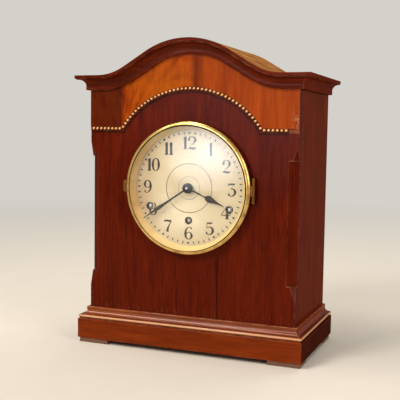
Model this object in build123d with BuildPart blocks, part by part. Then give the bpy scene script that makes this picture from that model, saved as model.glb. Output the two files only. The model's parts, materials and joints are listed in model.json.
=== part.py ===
"""Mantel clock with a serpentine top: wooden case, hinged bezel and a three-train pendulum movement.

Millimetres. +Z is up, the dial faces -Y and +X is to the viewer's right. The origin lies on the table,
under the middle of the clock.
"""

import math
import os

from build123d import *

os.makedirs("parts", exist_ok=True)

# Case
body_width = 274.0
body_depth = 148.0
foot_height = 6.0
foot_length = 40.0
foot_breadth = 30.0
foot_setback = 2.0
board_thickness = 12.0
front_thickness = 18.0
side_thickness = 12.0
plinth_height = 25.0
plinth_overhang = 12.3
plinth_round = 1.0

# Base moulding, as reaches out from the case and drops from its top
base_fillet_reach = 3.6
base_fillet_drop = 2.7
base_cove_reach = 8.8
base_cove_drop = 9.4
base_bead_reach = 10.2
base_bead_swell = 1.5
base_bead_height = 4.1
base_quirk_height = 1.2
cove_sag_share = 0.3

# Serpentine roof
roof_apex = 386.8
roof_end = 343.7
roof_thickness = 3.8
roof_overhang = 15.8
crown_radius = 104.0
hollow_radius = 68.0
hollow_offset = 119.4

# Cornice moulding, as reaches out from the case and drops from the underside of the roof
cornice_lip_reach = 14.6
cornice_lip_drop = 1.2
cornice_cove_reach = 5.2
cornice_cove_drop = 11.6
cornice_foot_reach = 4.6
cornice_height = 14.2

# Frieze and its bead moulding
frieze_thickness = 1.5
bead_arch_radius = 110.0
bead_arch_apex = 326.5
bead_arch_half = 92.0
bead_pitch = 5.3
bead_radius = 2.35
bead_root = 0.3
bead_sides = 8
bead_facet = 35.0
bead_start_share = 0.6
bead_strip_thickness = 0.6
bead_strip_height = 5.4
bead_lost_length = 12.0

# Stopped chamfers on the front corners
chamfer_width = 11.5
chamfer_depth = 9.0
chamfer_low = 93.4
chamfer_high = 242.0
chamfer_stop_length = 18.6
chamfer_stop_share = 0.62

# Back
door_thickness = 10.0
door_gap = 0.5
door_top = 317.5
door_hinge_height = 40.0
door_hinge_inset = 52.0
door_leaf_thickness = 1.0
door_leaf_width = 11.0
door_leaf_clearance = 0.4
door_barrel_radius = 2.0
door_barrel_lift = 0.3
door_pin_radius = 0.9
knob_radius = 4.8
knob_neck_radius = 2.4
knob_neck_end = 6.0
knob_rim = 2.4
knob_reach = 13.0
knob_rose_radius = 6.0
knob_rose_height = 1.2
knob_height = 170.0
knob_inset = 12.5
seat_thickness = 12.0
seat_depth = 58.0
bearer_width = 12.0

# Dial and bezel, with depths counted forward from the face of the front board
dial_height = 205.6
dial_radius = 77.0
dial_thickness = 1.5
dial_seat_gap = 0.3
dial_opening_radius = 72.0
dial_centre_hole = 4.4
winding_hole_radius = 5.0
back_ring_inner = 74.0
back_ring_outer = 82.0
back_ring_thickness = 1.5
bezel_radius = 82.3
bezel_wall = 3.7
bezel_height = 11.0
bezel_round = 4.5
bezel_lip_radius = 77.5
bezel_lip_thickness = 0.8
bezel_rest_gap = 0.2
glass_thickness = 1.8
glass_rise = 7.5
sight_flange = 1.2
sight_throat_radius = 71.2
sight_throat_depth = 0.6
sight_thickness = 1.2
fit_gap = 0.1
bezel_hinge_offset = 84.9
bezel_hinge_depth = 6.0
bezel_barrel_radius = 2.2
bezel_barrel_length = 30.0
bezel_knuckle_length = 11.6
bezel_knuckle_gap = 0.2
bezel_pin_radius = 0.9
bezel_web = 1.6
tab_reach = 5.7
tab_length = 22.8
tab_height = 15.0
tab_thickness = 2.5
tab_depth = 2.5

# Hands, with clockwise rest angles from twelve
minute_length = 70.0
minute_angle = 236.0
minute_depth = 6.0
minute_stem = 0.9
minute_swell = 2.0
minute_leaf_share = 0.5
minute_swell_share = 0.72
hour_length = 51.0
hour_angle = 113.5
hour_depth = 3.2
hour_stem = 0.8
hour_swell = 3.1
hour_leaf_share = 0.47
hour_swell_share = 0.57
hand_point = 0.65
hand_point_share = 0.16
hand_tip = 0.3
hand_thickness = 0.8
hour_hub_radius = 6.5
minute_boss_radius = 6.0
minute_boss_height = 2.2
minute_boss_rim = 0.6

# Movement, with depths counted back from the face of the front board and places from the dial centre
run_gap = 0.05
plate_thickness = 2.5
front_plate_depth = 21.5
plate_spacing = 46.0
plate_half_width = 82.0
plate_bottom = -72.0
plate_top = 60.0
plate_corner_cut = 20.0
pillar_radius = 4.0
pillar_tenon_radius = 2.5
pillar_proud = 0.6
pillar_places = [(-74.0, -64.0), (74.0, -64.0), (-66.0, 48.0), (66.0, 48.0)]
bolt_radius = 2.5
bolt_head_radius = 5.0
bolt_head_height = 3.5
bolt_bite = 3.0
dial_pillar_radius = 3.0
dial_pillar_tenon = 1.5
dial_pillar_places = [(-45.0, 45.0), (45.0, 45.0), (-32.0, -55.0), (32.0, -55.0)]
going_place = (0.0, -40.0)
strike_place = (-52.7, -24.3)
chime_place = (52.7, -24.3)
barrel_radius = 20.5
barrel_length = 26.0
barrel_end_gap = 2.0
winding_arbor_radius = 3.5
winding_square = 4.6
winding_square_setback = 2.5
ratchet_radius = 11.0
ratchet_teeth = 20
ratchet_tooth_depth = 1.4
ratchet_lean = 0.9
ratchet_thickness = 2.5
ratchet_gap = 0.7

# Wheels: teeth, modules and thicknesses
great_teeth = 48
great_module = 1.05
great_thickness = 3.0
intermediate_pinion_teeth = 8
intermediate_teeth = 48
intermediate_module = 0.75
intermediate_depth = 58.0
centre_pinion_teeth = 8
centre_teeth = 60
centre_module = 0.6
centre_depth = 48.0
third_pinion_teeth = 6
third_teeth = 72
third_module = 0.45
third_depth = 40.0
third_bearing = 35.0
escape_pinion_teeth = 6
escape_teeth = 40
escape_radius = 11.0
escape_depth = 33.0
escape_tooth_depth = 1.5
escape_lean = 0.35
wheel_thickness = 1.6
pinion_overlap = 1.0
pinion_length = 3.6
crossing_count = 5
crossing_rim = 2.6
crossing_hub = 4.5
crossing_spoke = 2.0
arbor_radius = 1.5
third_arbor_radius = 1.05
escape_arbor_radius = 0.8
cannon_teeth = 12
minute_wheel_teeth = 36
cannon_module = 1.0
minute_pinion_teeth = 10
hour_wheel_teeth = 40
hour_module = 0.96
minute_wheel_bearing = 45.0
minute_wheel_depth = 17.2
hour_wheel_depth = 13.5
cannon_wall = 0.85
cannon_reach = 8.4
hour_pipe_wall = 1.1
hour_pipe_reach = 4.4
wheel_tooth = (0.7, 1.0, 0.40, 0.22)
pinion_tooth = (0.6, 1.0, 0.34, 0.22)

# Escapement and pendulum
anchor_height = 44.0
anchor_inner_radius = 12.2
anchor_outer_radius = 15.0
anchor_half_angle = 52.0
anchor_thickness = 3.0
anchor_hub_radius = 3.0
crutch_standoff = 2.5
crutch_thickness = 1.2
crutch_width = 3.0
crutch_length = 45.0
crutch_pin_radius = 0.8
pendulum_gap = 5.5
pendulum_length = 140.0
rod_radius = 1.3
rod_top_drop = 12.0
rod_tail = 8.0
bob_radius = 22.0
bob_thickness = 10.0
bob_rim = 4.0
bob_bevel = 7.0
rating_nut_radius = 4.0
rating_nut_height = 4.0
strip_thickness = 0.4
strip_width = 4.0
strip_rise = 5.0
cock_slot = 1.6
cock_half_width = 9.0
cock_rise = 22.0
cock_arm_drop = 6.0
cock_arm_height = 6.0
cock_arm_past = 2.0
cock_lug_half = 4.0
cock_lug_gap = 2.8
cock_lug_thickness = 3.5
cock_jaw_lift = 1.25

# Gong and hammers
gong_block_left = -118.0
gong_block_width = 20.0
gong_back_gap = 8.0
gong_block_depth = 48.0
gong_block_height = 48.0
gong_rod_radius = 1.4
gong_rod_height = 40.0
gong_rod_length = 190.0
gong_rod_step = 13.0
gong_first_inset = 6.0
gong_pitch = 11.0
hammer_count = 4
hammer_pivot_x = -40.0
hammer_pivot_rise = 58.0
hammer_arm_length = 38.0
hammer_arm_width = 2.2
hammer_tail_length = 12.0
hammer_hub_radius = 4.0
hammer_hub_length = 6.0
hammer_head_radius = 4.5
hammer_head_height = 18.0
hammer_rest_gap = 0.8
hammer_frame_base = 20.0
hammer_frame_plate = 3.0

# Places worked out from those sizes
half_width = body_width / 2
glass_edge = bezel_height - bezel_lip_thickness - 2 * fit_gap
front_reach = max(glass_edge + glass_rise, roof_overhang)
front_y = front_reach - (body_depth + front_reach + knob_reach) / 2
back_y = front_y + body_depth
board_top = foot_height + board_thickness
plinth_top = foot_height + plinth_height
base_moulding_height = base_cove_drop + base_bead_height + base_quirk_height
base_top = plinth_top + base_moulding_height
side_inner = half_width - side_thickness
inner_front_y = front_y + front_thickness
seat_top = dial_height + plate_bottom
seat_bottom = seat_top - seat_thickness
back_plate_depth = front_plate_depth + plate_thickness + plate_spacing
inside_front = front_plate_depth + plate_thickness
rear_face = back_plate_depth + plate_thickness
crutch_depth = rear_face + crutch_standoff
cock_lug_depth = crutch_depth + crutch_thickness + cock_lug_gap
cock_lug_end = cock_lug_depth + cock_lug_thickness
pendulum_depth = cock_lug_end + pendulum_gap
strip_low = pendulum_depth - strip_width / 2
strip_high = pendulum_depth + strip_width / 2
cock_arm_reach = strip_high + cock_arm_past
gong_block_front = body_depth - door_thickness - gong_back_gap - gong_block_depth
gong_first = gong_block_front + gong_first_inset
bead_centre_z = bead_arch_apex - bead_arch_radius
bead_flat_z = bead_centre_z + math.sqrt(bead_arch_radius**2 - bead_arch_half**2)
front_corner = Plane(origin=(half_width, front_y, 0), z_dir=(1, 1, 0))
left_front_corner = Plane(origin=(-half_width, front_y, 0), z_dir=(-1, 1, 0))

# Flank angle of the straight run that touches both the crown and the hollow of the roof line
radius_sum = crown_radius + hollow_radius
roof_rise = roof_apex - roof_end
flank_length = math.sqrt(hollow_offset**2 + (radius_sum - roof_rise) ** 2 - radius_sum**2)
flank_angle = math.atan2(hollow_offset, radius_sum - roof_rise) - math.atan2(flank_length, radius_sum)


def upright(depth, x=0.0, z=0.0, turn=0.0):
    """Upright plane a depth behind the front face, seen from the front; turn is clockwise in degrees."""
    angle = math.radians(turn)
    across = (math.cos(angle), 0, -math.sin(angle))
    return Plane(origin=(x, front_y + depth, z), x_dir=across, z_dir=(0, -1, 0))


def turning(x=0.0, z=dial_height):
    """Plane through a front-to-back axis: local x is the radius and local y points forward from the face."""
    return Plane(origin=(x, front_y, z), x_dir=(1, 0, 0), z_dir=(0, 0, -1))


def axis_at(x=0.0, z=dial_height):
    """Front-to-back axis."""
    return Axis((x, front_y, z), (0, 1, 0))


def bar(x, z, radius, start, end, mode=Mode.ADD):
    """Round bar that runs from one depth behind the front face to another."""
    with Locations(Location((x, front_y + (start + end) / 2, z), (90, 0, 0))):
        Cylinder(radius, end - start, mode=mode)


def block(low, high, mode=Mode.ADD):
    """Block between two opposite corners."""
    size = [b - a for a, b in zip(low, high)]
    middle = [(a + b) / 2 for a, b in zip(low, high)]
    with Locations(tuple(middle)):
        Box(*size, mode=mode)


def finish(piece, name):
    """Label a finished piece and write it."""
    piece.part.label = name
    export_step(piece.part, f"parts/{name}.step")


def serpentine(drop, half):
    """Edges of the roof line, left to right, a normal distance drop below the roof's top."""
    crown = crown_radius - drop
    hollow = hollow_radius + drop
    crown_z = roof_apex - crown_radius
    hollow_z = roof_end + hollow_radius
    end_z = roof_end - drop
    crown_end = (crown * math.sin(flank_angle), crown_z + crown * math.cos(flank_angle))
    hollow_end = (hollow_offset - hollow * math.sin(flank_angle), hollow_z - hollow * math.cos(flank_angle))
    half_angle = flank_angle / 2
    hollow_mid = (hollow_offset - hollow * math.sin(half_angle), hollow_z - hollow * math.cos(half_angle))
    Line((-half, end_z), (-hollow_offset, end_z))
    ThreePointArc((-hollow_offset, end_z), (-hollow_mid[0], hollow_mid[1]), (-hollow_end[0], hollow_end[1]))
    Line((-hollow_end[0], hollow_end[1]), (-crown_end[0], crown_end[1]))
    ThreePointArc((-crown_end[0], crown_end[1]), (0, crown_z + crown), crown_end)
    Line(crown_end, hollow_end)
    ThreePointArc(hollow_end, hollow_mid, (hollow_offset, end_z))
    Line((hollow_offset, end_z), (half, end_z))


def under_roof(plane, drop, half, bottom):
    """Face below the roof line, down to a level bottom edge."""
    with BuildSketch(plane) as face:
        with BuildLine():
            serpentine(drop, half)
            Polyline((half, roof_end - drop), (half, bottom), (-half, bottom), (-half, roof_end - drop))
        make_face()
    return face.sketch


def base_profile(plane):
    """Section of the base moulding: fillet, cove, bead and quirk, with local y down from its top."""
    bead_low = base_cove_drop + base_bead_height
    bead_mid = base_cove_drop + base_bead_height / 2
    cove_sag = cove_sag_share * (base_cove_reach - base_fillet_reach)
    cove_mid = (
        (base_fillet_reach + base_cove_reach) / 2 - cove_sag,
        (base_fillet_drop + base_cove_drop) / 2 + cove_sag,
    )
    with BuildSketch(plane) as face:
        with BuildLine():
            Polyline((0, 0), (base_fillet_reach, 0), (base_fillet_reach, base_fillet_drop))
            ThreePointArc(
                (base_fillet_reach, base_fillet_drop), cove_mid, (base_cove_reach, base_cove_drop)
            )
            Line((base_cove_reach, base_cove_drop), (base_bead_reach, base_cove_drop))
            ThreePointArc(
                (base_bead_reach, base_cove_drop),
                (base_bead_reach + base_bead_swell, bead_mid),
                (base_bead_reach, bead_low),
            )
            Polyline(
                (base_bead_reach, bead_low),
                (base_bead_reach, base_moulding_height),
                (0, base_moulding_height),
                (0, 0),
            )
        make_face()
    return face.sketch


def plinth_profile(plane):
    """Section of a plinth rail, with its upper arris eased."""
    with BuildSketch(plane) as face:
        with BuildLine():
            Polyline((0, 0), (plinth_overhang - plinth_round, 0))
            RadiusArc(
                (plinth_overhang - plinth_round, 0), (plinth_overhang, plinth_round), -plinth_round
            )
            Polyline(
                (plinth_overhang, plinth_round), (plinth_overhang, plinth_height), (0, plinth_height), (0, 0)
            )
        make_face()
    return face.sketch


def cornice_profile(plane):
    """Section of the cornice: lip, cavetto and foot, with local y down from the underside of the roof."""
    cove_sag = cove_sag_share * (cornice_lip_reach - cornice_cove_reach)
    cove_mid = (
        (cornice_lip_reach + cornice_cove_reach) / 2 - cove_sag,
        (cornice_lip_drop + cornice_cove_drop) / 2 - cove_sag,
    )
    with BuildSketch(plane) as face:
        with BuildLine():
            Polyline((0, 0), (cornice_lip_reach, 0), (cornice_lip_reach, cornice_lip_drop))
            ThreePointArc(
                (cornice_lip_reach, cornice_lip_drop), cove_mid, (cornice_cove_reach, cornice_cove_drop)
            )
            Polyline(
                (cornice_cove_reach, cornice_cove_drop),
                (cornice_foot_reach, cornice_height),
                (0, cornice_height),
                (0, 0),
            )
        make_face()
    return face.sketch


def front_run_plane(reach, top):
    """Plane at the left end of a moulding across the front: local x points forward and local y down."""
    return Plane(origin=(-half_width - reach, front_y, top), x_dir=(0, -1, 0), z_dir=(1, 0, 0))


def return_run_plane(reach, top):
    """Plane at the front end of a moulding along the right side: local x points out and local y down."""
    return Plane(origin=(half_width, front_y - reach, top), x_dir=(1, 0, 0), z_dir=(0, 1, 0))


def mitre_front():
    """Cut both ends of a front moulding to 45 degrees."""
    split(bisect_by=front_corner, keep=Keep.BOTTOM)
    split(bisect_by=left_front_corner, keep=Keep.BOTTOM)


def mitre_returns():
    """Cut the front end of a right-hand return to 45 degrees and add its mirror image."""
    split(bisect_by=front_corner, keep=Keep.TOP)
    mirror(about=Plane.YZ)


def gear_face(plane, teeth, module, shape, bearing):
    """Outline of a wheel with straight-sided teeth, one of them centred on a bearing in degrees."""
    addendum, dedendum, share, tip_share = shape
    pitch_radius = module * teeth / 2
    tip_radius = pitch_radius + addendum * module
    root_radius = pitch_radius - dedendum * module
    pitch = 2 * math.pi / teeth
    tip_half = pitch * tip_share / 2
    root_half = pitch * (share + (share - tip_share) * dedendum / addendum) / 2
    points = []
    for tooth in range(teeth):
        centre = math.radians(bearing) + tooth * pitch
        for angle, radius in (
            (centre - root_half, root_radius),
            (centre - tip_half, tip_radius),
            (centre + tip_half, tip_radius),
            (centre + root_half, root_radius),
        ):
            points.append((radius * math.cos(angle), radius * math.sin(angle)))
    with BuildSketch(plane) as face:
        with BuildLine():
            Polyline(*points, close=True)
        make_face()
    return face.sketch


def saw_face(plane, teeth, tip_radius, tooth_depth, lean):
    """Outline of a ratchet or escape wheel, whose pointed teeth lean by a share of the pitch."""
    pitch = 2 * math.pi / teeth
    points = []
    for tooth in range(teeth):
        for angle, radius in ((0, tip_radius - tooth_depth), (lean * pitch, tip_radius)):
            turn = angle + tooth * pitch
            points.append((radius * math.cos(turn), radius * math.sin(turn)))
    with BuildSketch(plane) as face:
        with BuildLine():
            Polyline(*points, close=True)
        make_face()
    return face.sketch


def crossings(plane, rim_radius):
    """Openings between the spokes of a wheel."""
    with BuildSketch(plane) as face:
        Circle(rim_radius)
        Circle(crossing_hub, mode=Mode.SUBTRACT)
        with PolarLocations(0, crossing_count):
            Rectangle(
                rim_radius + crossing_spoke,
                crossing_spoke,
                align=(Align.MIN, Align.CENTER),
                mode=Mode.SUBTRACT,
            )
    return face.sketch


def bearing_to(start, end):
    """Direction from one arbor to another, in degrees, anticlockwise from the viewer's right."""
    return math.degrees(math.atan2(end[1] - start[1], end[0] - start[0]))


def meshing(bearing, teeth):
    """Bearing of a tooth on a wheel whose tooth gap faces back along a bearing."""
    return bearing + 180 + 180 / teeth


def where_circles_meet(first, first_radius, second, second_radius):
    """The meeting point, on the left, of two circles about two arbors."""
    apart = math.dist(first, second)
    along = (first_radius**2 - second_radius**2 + apart**2) / (2 * apart)
    aside = math.sqrt(first_radius**2 - along**2)
    across = ((second[0] - first[0]) / apart, (second[1] - first[1]) / apart)
    return (
        first[0] + along * across[0] - aside * across[1],
        first[1] + along * across[1] + aside * across[0],
    )


# Arbor places of the time train, from tooth counts and modules
centre_place = (0.0, 0.0)
great_distance = great_module * (great_teeth + intermediate_pinion_teeth) / 2
intermediate_distance = intermediate_module * (intermediate_teeth + centre_pinion_teeth) / 2
third_distance = centre_module * (centre_teeth + third_pinion_teeth) / 2
escape_distance = third_module * (third_teeth + escape_pinion_teeth) / 2
motion_distance = cannon_module * (cannon_teeth + minute_wheel_teeth) / 2
intermediate_place = where_circles_meet(going_place, great_distance, centre_place, intermediate_distance)
third_place = (
    third_distance * math.sin(math.radians(third_bearing)),
    third_distance * math.cos(math.radians(third_bearing)),
)
escape_place = (0.0, third_place[1] + math.sqrt(escape_distance**2 - third_place[0] ** 2))
anchor_place = (0.0, anchor_height)
minute_wheel_place = (
    motion_distance * math.sin(math.radians(minute_wheel_bearing)),
    motion_distance * math.cos(math.radians(minute_wheel_bearing)),
)
winding_places = {"going": going_place, "strike": strike_place, "chime": chime_place}


# Case: base
with BuildPart() as base_board:
    block((-half_width, front_y, foot_height), (half_width, back_y, board_top))
finish(base_board, "base_board")

foot_x = half_width + plinth_overhang - foot_setback - foot_length / 2
foot_front_y = front_y - plinth_overhang + foot_setback + foot_breadth / 2
foot_back_y = back_y - foot_setback - foot_breadth / 2
with BuildPart() as pad_feet:
    for foot_side in (-1, 1):
        with Locations((foot_side * foot_x, foot_front_y, 0), (foot_side * foot_x, foot_back_y, 0)):
            Box(foot_length, foot_breadth, foot_height, align=(Align.CENTER, Align.CENTER, Align.MIN))
finish(pad_feet, "pad_feet")

plinth_half = half_width + plinth_overhang
with BuildPart() as plinth_front:
    extrude(plinth_profile(front_run_plane(plinth_overhang, plinth_top)), amount=2 * plinth_half)
    mitre_front()
finish(plinth_front, "plinth_front")

plinth_depth = body_depth + plinth_overhang
with BuildPart() as plinth_returns:
    extrude(plinth_profile(return_run_plane(plinth_overhang, plinth_top)), amount=plinth_depth)
    mitre_returns()
finish(plinth_returns, "plinth_returns")

base_reach = base_bead_reach + base_bead_swell
with BuildPart() as base_moulding_front:
    extrude(base_profile(front_run_plane(base_reach, base_top)), amount=2 * (half_width + base_reach))
    mitre_front()
finish(base_moulding_front, "base_moulding_front")

with BuildPart() as base_moulding_returns:
    extrude(base_profile(return_run_plane(base_reach, base_top)), amount=body_depth + base_reach)
    mitre_returns()
finish(base_moulding_returns, "base_moulding_returns")


# Case: front board with its dial opening and stopped chamfers
def chamfer_face(z, share):
    """Corner triangle cut off the right front edge, at a height, as a share of the full chamfer."""
    with BuildSketch(Plane.XY.offset(z)) as face:
        with BuildLine():
            Polyline(
                (half_width, front_y),
                (half_width, front_y + chamfer_depth * share),
                (half_width - chamfer_width * share, front_y),
                close=True,
            )
        make_face()
    return face.sketch


with BuildPart() as chamfer_cut:
    extrude(chamfer_face(chamfer_low, 1), amount=chamfer_high - chamfer_low)
    loft(
        [
            chamfer_face(chamfer_high, chamfer_stop_share).face(),
            Vertex(half_width, front_y, chamfer_high + chamfer_stop_length),
        ]
    )
    loft(
        [
            Vertex(half_width, front_y, chamfer_low - chamfer_stop_length),
            chamfer_face(chamfer_low, chamfer_stop_share).face(),
        ]
    )

with BuildPart() as front_panel:
    extrude(under_roof(upright(0), roof_thickness, half_width, board_top), amount=-front_thickness)
    bar(0, dial_height, dial_opening_radius, 0, front_thickness, Mode.SUBTRACT)
    bar(0, dial_height, dial_radius + dial_seat_gap, 0, dial_thickness, Mode.SUBTRACT)
    add(chamfer_cut.part, mode=Mode.SUBTRACT)
    add(chamfer_cut.part.mirror(Plane.YZ), mode=Mode.SUBTRACT)
finish(front_panel, "front_panel")

with BuildPart() as right_side_panel:
    block((side_inner, inner_front_y, board_top), (half_width, back_y, roof_end - roof_thickness))
finish(right_side_panel, "right_side_panel")

with BuildPart() as left_side_panel:
    block((-half_width, inner_front_y, board_top), (-side_inner, back_y, roof_end - roof_thickness))
finish(left_side_panel, "left_side_panel")

# Case: roof, cornice and frieze
roof_half = half_width + roof_overhang
roof_depth = body_depth + roof_overhang
with BuildPart() as roof_board:
    extrude(under_roof(upright(-roof_overhang), 0, roof_half, dial_height), amount=-roof_depth)
    extrude(
        under_roof(upright(-roof_overhang), roof_thickness, roof_half, dial_height),
        amount=-roof_depth,
        mode=Mode.SUBTRACT,
    )
finish(roof_board, "roof_board")

cornice_top = roof_end - roof_thickness
with BuildPart() as cornice_front:
    with BuildLine(upright(0)) as cornice_path:
        serpentine(roof_thickness, half_width + cornice_lip_reach)
    sweep(cornice_profile(front_run_plane(cornice_lip_reach, cornice_top)), path=cornice_path.wire())
    mitre_front()
finish(cornice_front, "cornice_front")

cornice_depth = body_depth + cornice_lip_reach
with BuildPart() as cornice_returns:
    extrude(cornice_profile(return_run_plane(cornice_lip_reach, cornice_top)), amount=cornice_depth)
    mitre_returns()
finish(cornice_returns, "cornice_returns")

frieze_bottom = bead_flat_z + bead_strip_height / 2
with BuildPart() as frieze_panel:
    with BuildSketch(upright(0)):
        add(under_roof(Plane.XY, roof_thickness + cornice_height, half_width, frieze_bottom))
        with Locations((0, bead_centre_z)):
            Circle(bead_arch_radius + bead_strip_height / 2, mode=Mode.SUBTRACT)
    extrude(amount=frieze_thickness)
finish(frieze_panel, "frieze_panel")

# Bead moulding: a thin strip that follows the frieze's lower edge, with a row of half-round beads
arch_half_angle = math.asin(bead_arch_half / bead_arch_radius)
arch_beads = round(2 * arch_half_angle * bead_arch_radius / bead_pitch)
flat_left = half_width - bead_arch_half
flat_right = flat_left - bead_lost_length
bead_points = []
for bead in range(arch_beads):
    bead_angle = arch_half_angle * (2 * (bead + 0.5) / arch_beads - 1)
    bead_points.append(
        (bead_arch_radius * math.sin(bead_angle), bead_centre_z + bead_arch_radius * math.cos(bead_angle))
    )
for side, length in ((-1, flat_left), (1, flat_right)):
    for bead in range(int(length / bead_pitch)):
        bead_x = bead_arch_half + (bead + bead_start_share) * bead_pitch
        bead_points.append((side * bead_x, bead_flat_z))

with BuildPart() as bead:
    with BuildSketch(Plane.XZ.offset(-bead_root)):
        RegularPolygon(bead_radius, bead_sides)
    for angle in (math.radians(bead_facet), math.radians(2 * bead_facet)):
        with BuildSketch(Plane.XZ.offset(bead_radius * math.sin(angle))):
            RegularPolygon(bead_radius * math.cos(angle), bead_sides)
    loft(ruled=True)

with BuildPart() as bead_moulding:
    with BuildSketch(upright(0)):
        with Locations((0, bead_centre_z)):
            Circle(bead_arch_radius + bead_strip_height / 2)
            Circle(bead_arch_radius - bead_strip_height / 2, mode=Mode.SUBTRACT)
        with Locations((0, bead_flat_z - bead_strip_height / 2)):
            Rectangle(body_width, body_width, align=(Align.CENTER, Align.MIN), mode=Mode.INTERSECT)
        with Locations((-half_width + flat_left / 2, bead_flat_z)):
            Rectangle(flat_left, bead_strip_height)
        with Locations((bead_arch_half + flat_right / 2, bead_flat_z)):
            Rectangle(flat_right, bead_strip_height)
    extrude(amount=bead_strip_thickness)
    with Locations(*[(x, front_y - bead_strip_thickness, z) for x, z in bead_points]):
        add(bead.part)
finish(bead_moulding, "bead_moulding")

# Case: back and inside
with BuildPart() as back_top_rail:
    with BuildSketch(upright(body_depth)):
        add(under_roof(Plane.XY, roof_thickness, half_width, door_top + door_gap))
        with Locations((0, door_top)):
            Rectangle(2 * side_inner, body_width, align=(Align.CENTER, Align.MIN), mode=Mode.INTERSECT)
    extrude(amount=board_thickness)
finish(back_top_rail, "back_top_rail")

bolt_y = front_y + inside_front + plate_spacing / 2
with BuildPart() as seat_board:
    block((-side_inner, inner_front_y, seat_bottom), (side_inner, inner_front_y + seat_depth, seat_top))
    for bolt_x in (pillar_places[0][0], pillar_places[1][0]):
        with Locations((bolt_x, bolt_y, (seat_bottom + seat_top) / 2)):
            Cylinder(bolt_radius, seat_thickness, mode=Mode.SUBTRACT)
finish(seat_board, "seat_board")

with BuildPart() as seat_bearers:
    for low_x in (-side_inner, side_inner - bearer_width):
        block(
            (low_x, inner_front_y, seat_bottom - bearer_width),
            (low_x + bearer_width, inner_front_y + seat_depth, seat_bottom),
        )
finish(seat_bearers, "seat_bearers")

# Back door, hung on the right side panel
hinge_centres = (board_top + door_hinge_inset, door_top - door_hinge_inset)
door_axis_y = back_y + door_barrel_lift + door_barrel_radius
knuckle_height = door_hinge_height / 3

with BuildPart() as back_door:
    block(
        (-side_inner + door_gap, back_y - door_thickness, board_top + door_gap),
        (side_inner - door_gap, back_y, door_top),
    )
finish(back_door, "back_door")

with BuildPart() as door_knob:
    with BuildSketch(Plane(origin=(knob_inset - side_inner, back_y, knob_height), z_dir=(0, 0, 1))):
        with BuildLine():
            Polyline(
                (0, knob_reach),
                (0, 0),
                (knob_rose_radius, 0),
                (knob_rose_radius, knob_rose_height),
                (knob_neck_radius, knob_rose_height),
                (knob_neck_radius, knob_neck_end),
                (knob_radius, knob_reach - knob_rim),
                (knob_neck_radius, knob_reach),
                close=True,
            )
        make_face()
    revolve(axis=axis_at(knob_inset - side_inner, knob_height))
finish(door_knob, "door_knob")


def door_leaf(centre, side, knuckles):
    """One hinge leaf on the back of the case: side is +1 on the side panel and -1 on the door."""
    low = centre - door_hinge_height / 2
    inner = side_inner + side * (door_barrel_radius + door_leaf_clearance)
    outer = inner + side * (door_leaf_width - door_barrel_radius)
    block(
        (min(inner, outer), back_y, low),
        (max(inner, outer), back_y + door_leaf_thickness, low + door_hinge_height),
    )
    for knuckle in knuckles:
        base = low + knuckle * knuckle_height + door_gap / 4
        top = base + knuckle_height - door_gap / 2
        block(
            (min(side_inner, inner), back_y + door_barrel_lift, base),
            (max(side_inner, inner), back_y + door_leaf_thickness, top),
        )
        with Locations((side_inner, door_axis_y, (base + top) / 2)):
            Cylinder(door_barrel_radius, top - base)


with BuildPart() as case_hinge_leaves:
    for hinge_centre in hinge_centres:
        door_leaf(hinge_centre, 1, (0, 2))
        with Locations((side_inner, door_axis_y, hinge_centre)):
            Cylinder(door_pin_radius, door_hinge_height)
finish(case_hinge_leaves, "case_hinge_leaves")

with BuildPart() as door_hinge_leaves:
    for hinge_centre in hinge_centres:
        door_leaf(hinge_centre, -1, (1,))
        with Locations((side_inner, door_axis_y, hinge_centre)):
            Cylinder(door_pin_radius + run_gap, door_hinge_height, mode=Mode.SUBTRACT)
finish(door_hinge_leaves, "door_hinge_leaves")

# Dial and bezel
with BuildPart() as dial_plate:
    bar(0, dial_height, dial_radius, 0, dial_thickness)
    bar(0, dial_height, dial_centre_hole, 0, dial_thickness, Mode.SUBTRACT)
    for place in winding_places.values():
        bar(place[0], dial_height + place[1], winding_hole_radius, 0, dial_thickness, Mode.SUBTRACT)
finish(dial_plate, "dial_plate")

hinge_y = front_y - bezel_hinge_depth
barrel_low = dial_height - bezel_barrel_length / 2
fixed_knuckle = (bezel_barrel_length - bezel_knuckle_length) / 2 - bezel_knuckle_gap
fixed_centres = [
    dial_height + side * (bezel_barrel_length - fixed_knuckle) / 2 for side in (-1, 1)
]
with BuildPart() as bezel_back_ring:
    bar(0, dial_height, back_ring_outer, -back_ring_thickness, 0)
    block(
        (back_ring_inner, front_y - back_ring_thickness, barrel_low),
        (bezel_hinge_offset + bezel_web / 2, front_y, barrel_low + bezel_barrel_length),
    )
    bar(0, dial_height, back_ring_inner, -back_ring_thickness, 0, Mode.SUBTRACT)
    for knuckle_z in fixed_centres:
        with Locations((bezel_hinge_offset, hinge_y, knuckle_z)):
            Cylinder(bezel_barrel_radius, fixed_knuckle)
        with Locations((bezel_hinge_offset, (front_y + hinge_y) / 2, knuckle_z)):
            Box(bezel_web, bezel_hinge_depth, fixed_knuckle)
    with Locations((bezel_hinge_offset, hinge_y, dial_height)):
        Cylinder(bezel_pin_radius, bezel_barrel_length, mode=Mode.SUBTRACT)
finish(bezel_back_ring, "bezel_back_ring")

with BuildPart() as bezel_hinge_pin:
    with Locations((bezel_hinge_offset, hinge_y, dial_height)):
        Cylinder(bezel_pin_radius, bezel_barrel_length)
finish(bezel_hinge_pin, "bezel_hinge_pin")

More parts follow.
